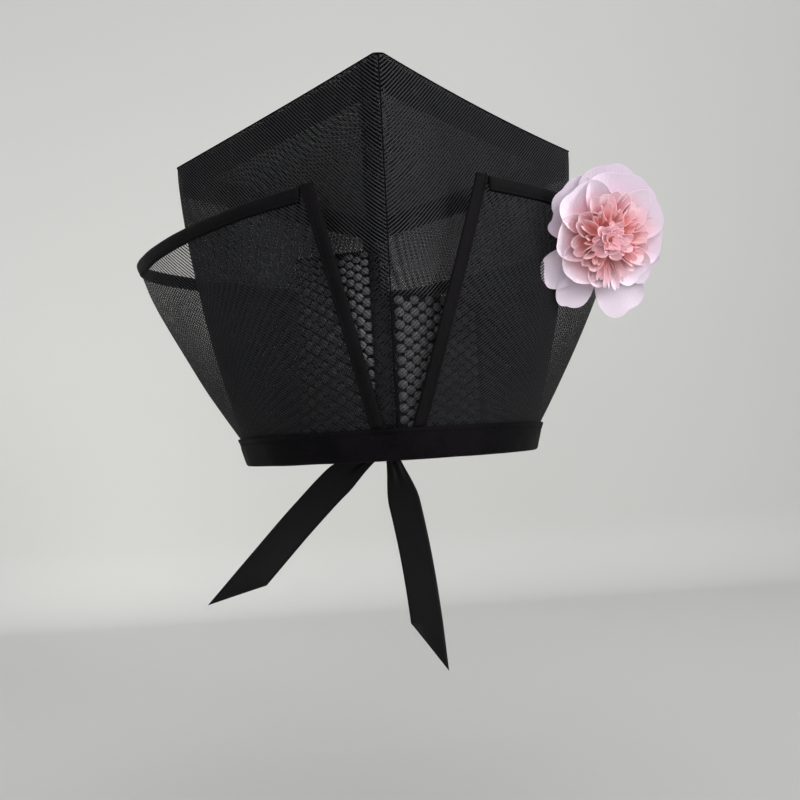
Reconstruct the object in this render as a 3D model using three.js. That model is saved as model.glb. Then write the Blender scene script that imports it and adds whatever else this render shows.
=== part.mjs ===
// Scholar's hat of black gauze: a square crown that stands on an oval headband, a lower
// outer wall that flares to a point at each side and opens in a V at the front, a net
// behind the V, two ribbon ties at the back and a cloth flower clipped to the rim.
// Millimetres, +Z up, -Y is the front, +X is the viewer's right. The origin is the centre
// of the head opening, in the plane of the band's lower edge.

import * as THREE from 'three';

// Cloth and clearances
const CLOTH = 1;
const GAP = 0.3;
const TAPE = 0.8;

// Headband: head opening, height and how far the top edge leans out
const HEAD_HALF_X = 78;
const HEAD_HALF_Y = 97;
const BAND_HEIGHT = 15;
const BAND_FLARE = 4.5;
const BAND_FLOOR = 1;

// The band is four layers of cloth: outer leaf, outer wall, crown wall, inner leaf
const BAND_GAP = 0.4;
const LAYER_PITCH = CLOTH + BAND_GAP;
const BAND_STACK = 4 * CLOTH + 3 * BAND_GAP;
const LAYER = { outerLeaf: 0, outerWall: 1, crownWall: 2, innerLeaf: 3 };

// Crown: flat rhombic top on four ridges
const CROWN_HEIGHT = 177;
const CROWN_TOP_UNDERSIDE = CROWN_HEIGHT - CLOTH - GAP;
const CORNER_BLUNT = 1.5;
const FACING_HEIGHT = 15;
const RIDGE_SEAM_WIDTH = 10;
const RIDGE_SEAM_START = 0.6;

// Outer wall: the two sides hang a little differently. Each has the half width of its side
// point, its rim's height there and on the middle plane, and the V's edge, as the distance
// from the middle plane at the band and at the rim.
const SIDES = {
  left: { side: -1, halfX: 146, rimSide: 120, rimFront: 128, vBottom: 7, vTop: 33 },
  right: { side: 1, halfX: 142, rimSide: 125, rimFront: 130, vBottom: 8, vTop: 44 },
};
const RIM_BACK = 119;
const RIM_EASE = 6;
const OUTER_HALF_FRONT = 124;
const OUTER_HALF_BACK = 134;
const RIM_TAPE_WIDTH = 6.5;
const V_TAPE_WIDTH = 5.3;
const V_GAP = 0.45;
const V_TAB_RISE = 2.5;
const BACK_SEAM_WIDTH = 8;

// Net behind the V: how far it reaches, and the slope of its top edge
const NET_HALF_WIDTH = 44;
const NET_BOTTOM = 4;
const NET_TOP = 88;
const NET_TOP_SLOPE = -0.35;

// Depths from the crown's outer face of what is sewn inside it
const INSIDE_DEPTH = 1.6;
const NET_DEPTH = 2.9;

// Each wall: half widths at its top edge, growth of each half width with height, and the
// exponent of its plan outline there, where 2 is an oval and 1 is a rhombus
const CROWN_WALL = {
  layer: LAYER.crownWall, topZ: () => CROWN_TOP_UNDERSIDE, cornerEase: 2,
  halfX: 119.5, growX: 1.6,
  front: { halfY: 135, growY: 1.3, exponent: 1 },
  back: { halfY: 133, growY: 1.3, exponent: 1 },
};

function outerWall(row) {
  return {
    ...row, layer: LAYER.outerWall, topZ: (angle) => rimHeight(row, angle), cornerEase: 1, growX: 1.25,
    front: { halfY: OUTER_HALF_FRONT, growY: 1.6, exponent: 1.45 },
    back: { halfY: OUTER_HALF_BACK, growY: 1.25, exponent: 1.35 },
  };
}

const OUTER_WALLS = { left: outerWall(SIDES.left), right: outerWall(SIDES.right) };

// Facets
const ANGLE_STEP = Math.PI / 24;
const CROWN_ROWS = 9;
const OUTER_ROWS = 8;
const OUTER_FRONT_COLUMNS = 13;
const OUTER_BACK_COLUMNS = 12;
const BAND_COLUMNS = 60;
const NET_COLUMNS = 12;
const NET_ROWS = 7;
const TIE_ROWS = 13;

// Ties: the knot, each ribbon's middle line from the knot down, and how it is gathered there
const TIE_WIDTH = 23;
const TIE_CUT = 37;
const KNOT_HALF = new THREE.Vector3(9, 5.5, 8);
const KNOT_Z = 6;
const KNOT_STANDOFF = 1.3;
const KNOT_COLUMNS = 12;
const KNOT_ROWS = 8;
const TIE_ROUTES = {
  left: [[-8.7, 0, 2], [-32, 3, -13], [-62, 4, -41], [-89, 2, -69], [-125, 1, -107]],
  right: [[4, 0, -1.7], [11, 3, -38], [17, 4, -76], [21, 3, -114], [24, 2, -158]],
};
const TIE_GATHERED = 0.38;
const TIE_GATHER_RUN = 26;

// Flower: its seat on the right rim, its facing and its nested petal layers
const FLOWER_X = 105.5;
const FLOWER_Z = 111;
const FLOWER_STANDOFF = 23;
const FLOWER_FACING = new THREE.Vector3(0.05, -0.95, -0.3).normalize();
const PETAL_LAYERS = [
  { radius: 28, lift: 9, droop: 13, base: 0, edge: 7, lobes: 6, scallop: 0.1, turn: 0.3 },
  { radius: 26, lift: 7, droop: 0, base: 2.4, edge: 12, lobes: 7, scallop: 0.09, turn: 1.1 },
  { radius: 21, lift: 4, droop: 0, base: 4.8, edge: 16, lobes: 8, scallop: 0.1, turn: 0.5 },
  { radius: 15.5, lift: 1.5, droop: 0, base: 7.2, edge: 19, lobes: 9, scallop: 0.12, turn: 0.9 },
];
const OUTER_PETAL_LAYERS = 2;
const PETAL_COLUMNS = 36;
const PETAL_ROWS = 4;
const PETAL_HOLE = 2.5;
const RUFFLE = 0.9;

// Two lobes of the rearmost layer hang lower than the rest
const DROOPING_TURNS = [-2.46, -1.34];
const DROOP_SHARPNESS = 12;

// Crimped centre, as radius and distance along the facing, from the back to the front
const POST_TOP = 8.3;
const CENTRE_PROFILE = [[0, POST_TOP + GAP], [6, 11.4], [10.2, 17.5], [9, 21], [5, 22.5], [0, 21.5]];
const CENTRE_COLUMNS = 28;
const CRIMP = 0.1;
const CRIMPS = 7;
const CRIMP_FULL_RADIUS = 8;

// Calyx: the post, the cup under the petals and the foot at the clip
const POST_RADIUS = 2.1;
const CALYX_FOOT = 7.4 - FLOWER_STANDOFF;
const CALYX_PROFILE = [
  [0, POST_TOP], [POST_RADIUS, POST_TOP], [POST_RADIUS, -0.6], [8, -0.5], [9, -1.5],
  [5, CALYX_FOOT / 2], [2.2, CALYX_FOOT], [0, CALYX_FOOT],
];
const CALYX_COLUMNS = 14;

// Spring clip
const CLIP_WIDTH = 8;
const CLIP_THICK = 1.5;
const CLIP_GAP = 0.6;
const CLIP_LEG = 20;

const COLOURS = {
  gauze: { color: 0x17171a, roughness: 0.85, metalness: 0 },
  band: { color: 0x0d0d10, roughness: 0.6, metalness: 0 },
  net: { color: 0x101012, roughness: 0.8, metalness: 0 },
  ribbon: { color: 0x0b0b0d, roughness: 0.5, metalness: 0 },
  outerPetal: { color: 0xeecfe0, roughness: 0.7, metalness: 0 },
  innerPetal: { color: 0xee8f9b, roughness: 0.7, metalness: 0 },
  calyx: { color: 0x7f9a63, roughness: 0.7, metalness: 0 },
  clip: { color: 0x2a2a2c, roughness: 0.4, metalness: 0.6 },
};

const hat = new THREE.Group();

function addMesh(name, geometry, colour) {
  const mesh = new THREE.Mesh(geometry, new THREE.MeshStandardMaterial(COLOURS[colour]));
  mesh.name = name;
  hat.add(mesh);
}

// Shapes from grids of points

function closedGeometry(points, triangles) {
  const corners = triangles.map((triangle) => triangle.map((index) => points[index]));
  const volume = corners.reduce((sum, [a, b, c]) => sum + a.dot(new THREE.Vector3().crossVectors(b, c)), 0);
  const facing = volume > 0 ? triangles : triangles.map(([a, b, c]) => [a, c, b]);
  const geometry = new THREE.BufferGeometry();
  geometry.setAttribute('position', new THREE.Float32BufferAttribute(points.flatMap((p) => p.toArray()), 3));
  geometry.setIndex(facing.flat());
  geometry.computeVertexNormals();
  return geometry;
}

// A section carried along stations: place(station, x, y) gives the point in space.
// A ring joins its last station to its first, and an open run gets end faces.
function sweep(stations, section, place, ring = false) {
  const count = section.length;
  const points = stations.flatMap((station) => section.map(([x, y]) => place(station, x, y)));
  const triangles = [];
  const spans = ring ? stations.length : stations.length - 1;
  for (let i = 0; i < spans; i += 1) {
    const here = i * count;
    const next = ((i + 1) % stations.length) * count;
    for (let j = 0; j < count; j += 1) {
      const k = (j + 1) % count;
      triangles.push([here + j, next + j, next + k], [here + j, next + k, here + k]);
    }
  }
  if (!ring) {
    const outline = section.map(([x, y]) => new THREE.Vector2(x, y));
    const clockwise = THREE.ShapeUtils.isClockWise(outline);
    const last = (stations.length - 1) * count;
    for (const cap of THREE.ShapeUtils.triangulateShape(outline, [])) {
      const [a, b, c] = clockwise ? [cap[2], cap[1], cap[0]] : cap;
      triangles.push([a, b, c], [last + c, last + b, last + a]);
    }
  }
  return closedGeometry(points, triangles);
}

// A profile turned about an axis, where it starts and ends: place(turn, across, along)
function spin(turns, profile, place) {
  const rings = profile.slice(1, -1);
  const points = turns.flatMap((turn) => rings.map(([across, along]) => place(turn, across, along)));
  const poles = [profile[0], profile[profile.length - 1]].map(([, along]) => place(0, 0, along));
  const triangles = [];
  turns.forEach((_, i) => {
    const here = i * rings.length;
    const next = ((i + 1) % turns.length) * rings.length;
    for (let j = 0; j < rings.length - 1; j += 1) {
      triangles.push([here + j, next + j, next + j + 1], [here + j, next + j + 1, here + j + 1]);
    }
    const last = rings.length - 1;
    triangles.push([points.length, next, here], [points.length + 1, here + last, next + last]);
  });
  return closedGeometry([...points, ...poles], triangles);
}

// A section made of two faces that run side by side, each with a point for every row
function doubleFace(rows, faces) {
  const [near, far] = faces;
  return [...rows.map((row) => [near, row]), ...[...rows].reverse().map((row) => [far, row])];
}

function spread(from, to, steps) {
  return Array.from({ length: steps + 1 }, (_, i) => from + (to - from) * i / steps);
}

function turnsOf(count) {
  return spread(0, 2 * Math.PI, count).slice(0, -1);
}

// Plan outlines. Angles run from the front, 0, by the side, a quarter turn, to the back.

function rimHeight(row, angle) {
  const end = Math.cos(angle) > 0 ? row.rimFront : RIM_BACK;
  return row.rimSide + (end - row.rimSide) * Math.cos(angle) ** RIM_EASE;
}

function bandHalf(headHalf, z, depth) {
  return headHalf + BAND_STACK - depth + BAND_FLARE * Math.min(z, BAND_HEIGHT) / BAND_HEIGHT;
}

// Half widths and exponent of a wall's plan outline at one height
function wallSection(wall, angle, z, depth) {
  const end = Math.cos(angle) > 0 ? wall.front : wall.back;
  const share = Math.max(0, (z - BAND_HEIGHT) / (wall.topZ(angle) - BAND_HEIGHT));
  const grow = (power) => 1 - Math.max(0, 1 - share) ** power;
  const exponent = 2 - (2 - end.exponent) * grow(wall.cornerEase);
  const inset = depth * 2 ** (1 / exponent - 0.5);
  const baseX = bandHalf(HEAD_HALF_X, z, wall.layer * LAYER_PITCH);
  const baseY = bandHalf(HEAD_HALF_Y, z, wall.layer * LAYER_PITCH);
  const topX = wall.halfX - bandHalf(HEAD_HALF_X, BAND_HEIGHT, wall.layer * LAYER_PITCH);
  const topY = end.halfY - bandHalf(HEAD_HALF_Y, BAND_HEIGHT, wall.layer * LAYER_PITCH);
  return {
    halfX: baseX + topX * grow(wall.growX) - inset,
    halfY: baseY + topY * grow(end.growY) - inset,
    exponent,
  };
}

function wallPoint(wall, side, angle, z, depth) {
  const { halfX, halfY, exponent } = wallSection(wall, angle, z, depth);
  const blunt = CORNER_BLUNT * (2 - exponent);
  const across = halfX * Math.abs(Math.sin(angle)) ** (2 / exponent);
  const along = halfY * Math.abs(Math.cos(angle)) ** (2 / exponent);
  return new THREE.Vector3(
    side * Math.max(Math.min(across, halfX - blunt), GAP / 2),
    -Math.sign(Math.cos(angle)) * Math.min(along, halfY - blunt),
    z,
  );
}

// The angle at distance x from the middle plane, on the front or back half of a wall. The
// wall's section changes a little with the angle itself, so it is found in a few rounds.
function angleAt(wall, x, z, depth, end) {
  let angle = end === 'front' ? 0 : Math.PI;
  for (let round = 0; round < 4; round += 1) {
    const { halfX, exponent } = wallSection(wall, angle, z, depth);
    const turn = Math.asin(Math.min(1, (x / halfX) ** (exponent / 2)));
    angle = end === 'front' ? turn : Math.PI - turn;
  }
  return angle;
}

function wallPointByX(wall, x, z, depth, end = 'front') {
  const side = Math.sign(x) || 1;
  const point = wallPoint(wall, side, angleAt(wall, Math.abs(x), z, depth, end), z, depth);
  return point.setX(x);
}

// Headband: one folded strip, open upward, that holds the lower edges of both walls
function addHeadband() {
  const inner = BAND_STACK - CLOTH;
  const section = [
    [0, 0], [0, BAND_HEIGHT], [CLOTH, BAND_HEIGHT], [CLOTH, BAND_FLOOR],
    [inner, BAND_FLOOR], [inner, BAND_HEIGHT], [BAND_STACK, BAND_HEIGHT], [BAND_STACK, 0],
  ];
  const place = (angle, depth, z) => new THREE.Vector3(
    bandHalf(HEAD_HALF_X, z, depth) * Math.sin(angle),
    -bandHalf(HEAD_HALF_Y, z, depth) * Math.cos(angle),
    z,
  );
  addMesh('headband', sweep(turnsOf(BAND_COLUMNS), section, place, true), 'band');
}

// Crown walls: one cloth each side, folded at the side ridge, meeting at front and back
function addCrown() {
  const rows = [BAND_FLOOR + GAP, ...spread(BAND_HEIGHT, CROWN_TOP_UNDERSIDE, CROWN_ROWS)];
  const angles = spread(0, Math.PI, Math.round(Math.PI / ANGLE_STEP));
  for (const [word, side] of [['left', -1], ['right', 1]]) {
    const place = (angle, depth, z) => wallPoint(CROWN_WALL, side, angle, z, depth);
    addMesh(`crown_wall_${word}`, sweep(angles, doubleFace(rows, [0, CLOTH]), place), 'gauze');
  }
}

// The flat top covers the walls' upper edges
function addCrownTop() {
  const profile = [[0, CROWN_HEIGHT - CLOTH], [1, CROWN_HEIGHT - CLOTH], [1, CROWN_HEIGHT], [0, CROWN_HEIGHT]];
  const place = (turn, share, z) => {
    const side = turn <= Math.PI ? 1 : -1;
    const angle = side > 0 ? turn : 2 * Math.PI - turn;
    const edge = wallPoint(CROWN_WALL, side, angle, CROWN_TOP_UNDERSIDE, 0);
    const onRidge = Math.abs(edge.x) <= GAP;
    return new THREE.Vector3(onRidge ? 0 : edge.x * share, edge.y * share, z);
  };
  addMesh('crown_top', spin(turnsOf(Math.round(2 * Math.PI / ANGLE_STEP)), profile, place), 'gauze');
}

// Doubled cloth inside the crown: a facing under the top edge, and the seam at two ridges
function addCrownSeams() {
  const facingTop = CROWN_TOP_UNDERSIDE;
  const facingRows = [facingTop - FACING_HEIGHT, facingTop];
  const angles = spread(0, Math.PI, Math.round(Math.PI / ANGLE_STEP));
  const faces = [INSIDE_DEPTH, INSIDE_DEPTH + TAPE];
  for (const [word, side] of [['left', -1], ['right', 1]]) {
    const place = (angle, depth, z) => wallPoint(CROWN_WALL, side, angle, z, depth);
    addMesh(`top_facing_${word}`, sweep(angles, doubleFace(facingRows, faces), place), 'gauze');
  }
  const seamRows = spread(BAND_HEIGHT + GAP, facingTop - FACING_HEIGHT - GAP, CROWN_ROWS);
  for (const end of ['front', 'back']) {
    const strip = [0, RIDGE_SEAM_WIDTH / 2, RIDGE_SEAM_WIDTH].map((x) => -RIDGE_SEAM_START - x);
    const place = (z, depth, x) => wallPointByX(CROWN_WALL, x, z, depth, end);
    addMesh(`ridge_seam_${end}`, sweep(seamRows, doubleFace(strip, faces), place), 'gauze');
  }
}

// Outer walls

// Where the V's edge meets the rim
function vCorner(wall) {
  return wall.topZ(angleAt(wall, wall.vTop, wall.rimFront, 0, 'front'));
}

function vEdge(wall, z) {
  const share = (z - BAND_HEIGHT) / (vCorner(wall) - BAND_HEIGHT);
  return wall.vBottom + (wall.vTop - wall.vBottom) * Math.min(1, share);
}

// Columns of an outer wall, as shares: 0 the V's edge, 1 the side point, 2 the middle of
// the back. The first column is as wide as the tape on the V's edge.
const OUTER_SHARES = [
  0, 0.037, ...spread(0.09, 1, OUTER_FRONT_COLUMNS - 2),
  ...spread(1, 2, OUTER_BACK_COLUMNS).slice(1),
];

function outerAngle(wall, share, z) {
  if (share > 1) return Math.PI / 2 * share;
  const start = angleAt(wall, vEdge(wall, z), z, 0, 'front');
  return start + (Math.PI / 2 - start) * share;
}

// Height of a row on the column of that share: -1 in the band, 0 at its top, 1 at the rim
function outerHeight(wall, share, rise) {
  const low = BAND_FLOOR + GAP;
  if (rise <= 0) return low + (BAND_HEIGHT - low) * (rise + 1);
  const rim = wall.topZ(outerAngle(wall, share, wall.rimFront));
  return BAND_HEIGHT + (rim - BAND_HEIGHT) * rise;
}

function addOuterWalls() {
  for (const [word, wall] of Object.entries(OUTER_WALLS)) {
    const tapeShare = RIM_TAPE_WIDTH / (vCorner(wall) - BAND_HEIGHT);
    const rises = [-1, ...spread(0, 1 - tapeShare, OUTER_ROWS - 1), 1];
    const place = (share, depth, rise) => {
      const z = outerHeight(wall, share, rise);
      return wallPoint(wall, wall.side, outerAngle(wall, share, z), z, depth);
    };
    addMesh(`outer_wall_${word}`, sweep(OUTER_SHARES, doubleFace(rises, [0, CLOTH]), place), 'gauze');
  }
}

// Tapes on the edges of the outer walls. The rim's is a U with the wall's edge between its
// leaves, and the V's is an L: a leaf on the outer face, turned over the edge.
const LEAF = GAP + TAPE;
const RIM_TAPE_SECTION = [
  [-LEAF, -RIM_TAPE_WIDTH], [-LEAF, LEAF], [CLOTH + LEAF, LEAF], [CLOTH + LEAF, -RIM_TAPE_WIDTH],
  [CLOTH + GAP, -RIM_TAPE_WIDTH], [CLOTH + GAP, GAP], [-GAP, GAP], [-GAP, -RIM_TAPE_WIDTH],
];
const V_LEAF = V_GAP + TAPE;
const V_TAPE_SECTION = [
  [-V_LEAF, -V_TAPE_WIDTH], [-V_LEAF, V_LEAF], [CLOTH, V_LEAF], [CLOTH, V_GAP],
  [-V_GAP, V_GAP], [-V_GAP, -V_TAPE_WIDTH],
];

function addRimTapes() {
  for (const [word, wall] of Object.entries(OUTER_WALLS)) {
    const place = (share, depth, up) => {
      const rim = outerHeight(wall, share, 1);
      const point = wallPoint(wall, wall.side, outerAngle(wall, share, rim), Math.min(rim, rim + up), depth);
      return point.setZ(rim + up);
    };
    addMesh(`rim_tape_${word}`, sweep(OUTER_SHARES.slice(1), RIM_TAPE_SECTION, place), 'band');
  }
}

function addVTapes() {
  for (const [word, wall] of Object.entries(OUTER_WALLS)) {
    const corner = vCorner(wall);
    const heights = [...spread(BAND_HEIGHT + GAP, corner, OUTER_ROWS), corner + V_TAB_RISE];
    const place = (z, depth, inward) => {
      const x = wall.side * (vEdge(wall, z) - inward);
      return wallPointByX(wall, x, Math.min(z, corner), depth).setZ(z);
    };
    addMesh(`v_tape_${word}`, sweep(heights, V_TAPE_SECTION, place), 'band');
  }
}

function addOuterBackSeam() {
  const heights = spread(BAND_HEIGHT + GAP, RIM_BACK - RIM_TAPE_WIDTH - GAP, OUTER_ROWS);
  const faces = [-GAP - TAPE, -GAP];
  const across = [-BACK_SEAM_WIDTH / 2, 0, BACK_SEAM_WIDTH / 2];
  const place = (z, depth, x) => wallPointByX(OUTER_WALLS.left, x, z, depth, 'back');
  addMesh('outer_back_seam', sweep(heights, doubleFace(across, faces), place), 'gauze');
}

// Net behind the V, sewn to the inside of the band
function addNet() {
  const across = spread(-NET_HALF_WIDTH, NET_HALF_WIDTH, NET_COLUMNS);
  const rises = spread(0, 1, NET_ROWS);
  const place = (x, depth, rise) => {
    const top = NET_TOP + NET_TOP_SLOPE * x;
    const z = NET_BOTTOM + (top - NET_BOTTOM) * rise;
    return wallPointByX(CROWN_WALL, x, z, depth);
  };
  addMesh('net_lining', sweep(across, doubleFace(rises, [NET_DEPTH, NET_DEPTH + TAPE]), place), 'net');
}

// Ties: a knot at the back of the band and a ribbon to each side of it
function addTies() {
  const knotY = bandHalf(HEAD_HALF_Y, KNOT_Z, 0) + KNOT_STANDOFF + KNOT_HALF.y;
  const knot = new THREE.SphereGeometry(1, KNOT_COLUMNS, KNOT_ROWS);
  knot.scale(KNOT_HALF.x, KNOT_HALF.y, KNOT_HALF.z);
  knot.translate(0, knotY, KNOT_Z);
  addMesh('tie_knot', knot, 'ribbon');
  for (const [word, route] of Object.entries(TIE_ROUTES)) {
    const curve = new THREE.CatmullRomCurve3(route.map(([x, y, z]) => new THREE.Vector3(x, knotY + y, z)));
    addMesh(`tie_${word}`, tieGeometry(curve, word === 'left' ? 1 : -1), 'ribbon');
  }
}

// A ribbon along a curve: gathered where it leaves the knot, and cut to a slant at its end,
// so that the edge on the short side falls back by the length of the cut
function tieGeometry(curve, shortSide) {
  const length = curve.getLength();
  const place = (share, across, through) => {
    const gather = TIE_GATHERED + (1 - TIE_GATHERED) * Math.min(1, share * length / TIE_GATHER_RUN);
    const inCut = Math.max(0, 1 - (1 - share) * length / TIE_CUT);
    const fallBack = inCut * TIE_CUT / length * (0.5 + shortSide * across / TIE_WIDTH);
    const point = curve.getPointAt(share - fallBack);
    const tangent = curve.getTangentAt(share - fallBack);
    const sideways = new THREE.Vector3(-tangent.z, 0, tangent.x).normalize();
    return point.addScaledVector(sideways, across * gather).add(new THREE.Vector3(0, through, 0));
  };
  const half = TIE_WIDTH / 2;
  const section = [[-half, 0], [0, 0], [half, 0], [half, CLOTH], [0, CLOTH], [-half, CLOTH]];
  return sweep(spread(0, 1, TIE_ROWS), section, place);
}

// Flower

const FLOWER_WALL = wallPointByX(OUTER_WALLS.right, FLOWER_X, FLOWER_Z, 0);
const FLOWER_SEAT = FLOWER_WALL.clone().addScaledVector(FLOWER_FACING, FLOWER_STANDOFF);
const FLOWER_RIGHT = new THREE.Vector3(0, 0, 1).cross(FLOWER_FACING).normalize();
const FLOWER_UP = FLOWER_FACING.clone().cross(FLOWER_RIGHT);

// A point of the flower by turn, radius and distance along its facing
function flowerPoint(turn, radius, forward) {
  return FLOWER_SEAT.clone()
    .addScaledVector(FLOWER_RIGHT, radius * Math.cos(turn))
    .addScaledVector(FLOWER_UP, radius * Math.sin(turn))
    .addScaledVector(FLOWER_FACING, forward);
}

function petalEdge(layer, turn) {
  const lobe = Math.abs(Math.cos(layer.lobes * turn / 2 + layer.turn));
  const upward = Math.sin(turn) * Math.abs(Math.sin(turn));
  const nearest = Math.max(...DROOPING_TURNS.map((lobeTurn) => Math.cos(turn - lobeTurn)));
  const drooping = Math.max(0, nearest) ** DROOP_SHARPNESS;
  const reach = layer.radius + layer.lift * upward + layer.droop * drooping;
  return reach * (1 - layer.scallop * (1 - lobe));
}

function addPetals() {
  PETAL_LAYERS.forEach((layer, index) => {
    const place = (turn, forward, share) => {
      const radius = PETAL_HOLE + (petalEdge(layer, turn) - PETAL_HOLE) * share;
      const ruffle = RUFFLE * share ** 2 * Math.sin(2 * layer.lobes * turn + layer.turn);
      const cup = layer.base + (layer.edge - layer.base) * share ** 2 + ruffle;
      return flowerPoint(turn, radius, cup + forward);
    };
    const section = doubleFace(spread(0, 1, PETAL_ROWS), [0, CLOTH]);
    const colour = index < OUTER_PETAL_LAYERS ? 'outerPetal' : 'innerPetal';
    addMesh(`petal_layer_${index + 1}`, sweep(turnsOf(PETAL_COLUMNS), section, place, true), colour);
  });
}

function addFlowerCentre() {
  const place = (turn, radius, forward) => {
    const crimp = 1 + CRIMP * Math.sin(CRIMPS * turn) * Math.min(1, radius / CRIMP_FULL_RADIUS);
    return flowerPoint(turn, radius * crimp, forward);
  };
  addMesh('flower_centre', spin(turnsOf(CENTRE_COLUMNS), CENTRE_PROFILE, place), 'innerPetal');
}

// The calyx carries the petals on a post and ends at the clip's outer leg
function addCalyx() {
  addMesh('flower_calyx', spin(turnsOf(CALYX_COLUMNS), CALYX_PROFILE, flowerPoint), 'calyx');
}

// Spring clip over the taped rim, with its outer leg behind the calyx
function addClip() {
  const wall = OUTER_WALLS.right;
  const rim = wall.topZ(angleAt(wall, FLOWER_X, wall.rimSide, 0, 'front'));
  const angle = angleAt(wall, FLOWER_X, rim, 0, 'front');
  const outer = LEAF + CLIP_GAP;
  const inner = CLOTH + LEAF + CLIP_GAP;
  const section = [
    [-outer - CLIP_THICK, -CLIP_LEG], [-outer - CLIP_THICK, outer + CLIP_THICK],
    [inner + CLIP_THICK, outer + CLIP_THICK], [inner + CLIP_THICK, -CLIP_LEG],
    [inner, -CLIP_LEG], [inner, outer], [-outer, outer], [-outer, -CLIP_LEG],
  ];
  const beside = wallPoint(wall, wall.side, angle + ANGLE_STEP / 10, rim, 0);
  const along = beside.sub(wallPoint(wall, wall.side, angle, rim, 0)).setZ(0).normalize();
  const place = (shift, depth, up) => {
    const point = wallPoint(wall, wall.side, angle, Math.min(rim, rim + up), depth);
    return point.addScaledVector(along, shift).setZ(rim + up);
  };
  addMesh('flower_clip', sweep([-CLIP_WIDTH / 2, CLIP_WIDTH / 2], section, place), 'clip');
}

addHeadband();
addCrown();
addCrownTop();
addCrownSeams();
addOuterWalls();
addRimTapes();
addVTapes();
addOuterBackSeam();
addNet();
addTies();
addPetals();
addFlowerCentre();
addCalyx();
addClip();

export default hat;
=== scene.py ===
# Looks of a scholar's hat of black gauze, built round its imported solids. The hat has a
# square crown on an oval band, a lower outer wall open in a V, ties and a cloth flower.
# Shapes are worked out in millimetres and written to the meshes in metres. +Z is up, -Y is
# the front, and the origin is the centre of the head opening.

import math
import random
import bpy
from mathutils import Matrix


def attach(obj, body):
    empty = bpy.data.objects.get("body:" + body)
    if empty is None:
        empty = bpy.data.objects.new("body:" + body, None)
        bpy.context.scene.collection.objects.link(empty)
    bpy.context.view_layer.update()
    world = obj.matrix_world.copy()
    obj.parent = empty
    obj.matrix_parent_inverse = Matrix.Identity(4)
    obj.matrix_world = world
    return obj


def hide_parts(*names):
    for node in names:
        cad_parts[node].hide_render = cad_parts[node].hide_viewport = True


bl_info = {
    "name": "Scholar Hat",
    "version": (1, 0, 0),
    "blender": (4, 5, 0),
    "location": "View3D > Sidebar > Hat",
    "description": "Builds a gauze scholar's hat with a cloth flower round its solids",
    "category": "Add Mesh",
}

import bpy
from mathutils import Matrix, Vector, noise

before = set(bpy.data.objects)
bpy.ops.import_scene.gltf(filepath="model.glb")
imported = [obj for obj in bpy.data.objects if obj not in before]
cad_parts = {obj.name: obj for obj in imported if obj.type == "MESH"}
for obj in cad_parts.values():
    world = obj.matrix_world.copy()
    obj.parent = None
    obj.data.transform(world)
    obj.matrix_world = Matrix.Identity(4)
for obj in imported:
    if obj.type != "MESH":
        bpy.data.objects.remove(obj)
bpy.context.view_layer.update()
MM = 0.001
BODY = "root"

# Photograph's camera, in millimetres
CAMERA_AT = Vector((-14.72, -477.27, 8.73))
CAMERA_FORWARD = Vector((0.0445, 0.9977, 0.0511))
CAMERA_UP = Vector((0.0566, -0.0516, 0.9971))
CAMERA_LENS = 36.6
CAMERA_SENSOR = 36.0

# Stage
FLOOR_Z = -202.0
WALL_Y = 640.0
COVE_RADIUS = 90.0
STAGE_HALF = 2600.0

# Cloth layers of the solids
CLOTH = 1.0
GAP = 0.3
HEAD_HALF = (78.0, 97.0)
BAND_HEIGHT = 15.0
BAND_FLARE = 4.5
LAYER_PITCH = 1.4
BAND_STACK = 5.2
OUTER_LAYER = 1
CROWN_LAYER = 2
BAND_FLOOR = 1.3

# Crown
CROWN_HEIGHT = 177.0
CROWN_WALL_TOP = 175.7
CROWN_EDGE = 176.5
CORNER_BLUNT = 2.6
TOP_SAG = 1.7
TOP_WELT = 0.1
WELT_RADIUS = 0.35
APEX_RISE = 1.5
TOP_SAG_START = 110.0
FACING_HEIGHT = 15.0
RIDGE_SEAM_WIDTH = 8.6
RIDGE_SEAM_START = 0.6
INSIDE_DEPTH = 2.0
TOP_SLACK = 1.2

# Outer wall
RIM_BACK = 120.5
RIM_EASE = 2
RIM_TAPE_WIDTH = 6.5
RIM_TAPE_START = 0.037
V_TAB_RISE = 1.2
CROSS_STITCH = 4.0
RIM_STITCHES_UP = -5.1
BAND_STITCHES_Z = 11.9
BACK_SEAM_WIDTH = 8.0

# Flat sizes of the sheets in metres and areas in square metres, as measured on their meshes
OUTER_FLAT = {"left": (0.36, 0.133), "right": (0.348, 0.14)}
OUTER_AREA = {"left": 0.0415, "right": 0.0424}

# Weave: how far coarse threads stray, fine threads to a coarse one, softness of the
# threads' edges, and the heights between which the outer wall's weave opens
THREAD_WANDER = 1.1
FINE_THREADS = 0.5
THREAD_EDGES = (0.1, 0.14)
DRAWN_HEIGHTS = (20.0, 108.0)

# Net and its cells
NET_HALF_WIDTH = 44.0
NET_FOOT = 4.0
NET_BOTTOM = 16.0
NET_TOP = {"left": 94.5, "right": 77.5}
NET_TOP_SLOPE = -0.12
NET_STEP_X = -4.0
NET_DEPTH = 3.3
CELL_CLOSE = (70.0, 25.0, 0.4)
CELL_STRETCH = (1.12, 1.03)
# Cells left of this x are painted paler by this share: painted light where less light reaches them.
CELL_PAINTED_LIGHT = 2.1
CELL_PAINTED_LIGHT_X = -8.0
CELL_RADIUS = 0.285
CELL_ROWS = 0.76
CELL_HEIGHT = 0.0005
CELL_SINK = 0.35

CROWN = {
    "layer": CROWN_LAYER, "top": lambda angle: CROWN_WALL_TOP, "ease": 2,
    "half_x": 119.5, "grow_x": 1.6,
    "front": (135.0, 1.3, 1.0), "back": (133.0, 1.3, 1.0),
}


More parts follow.
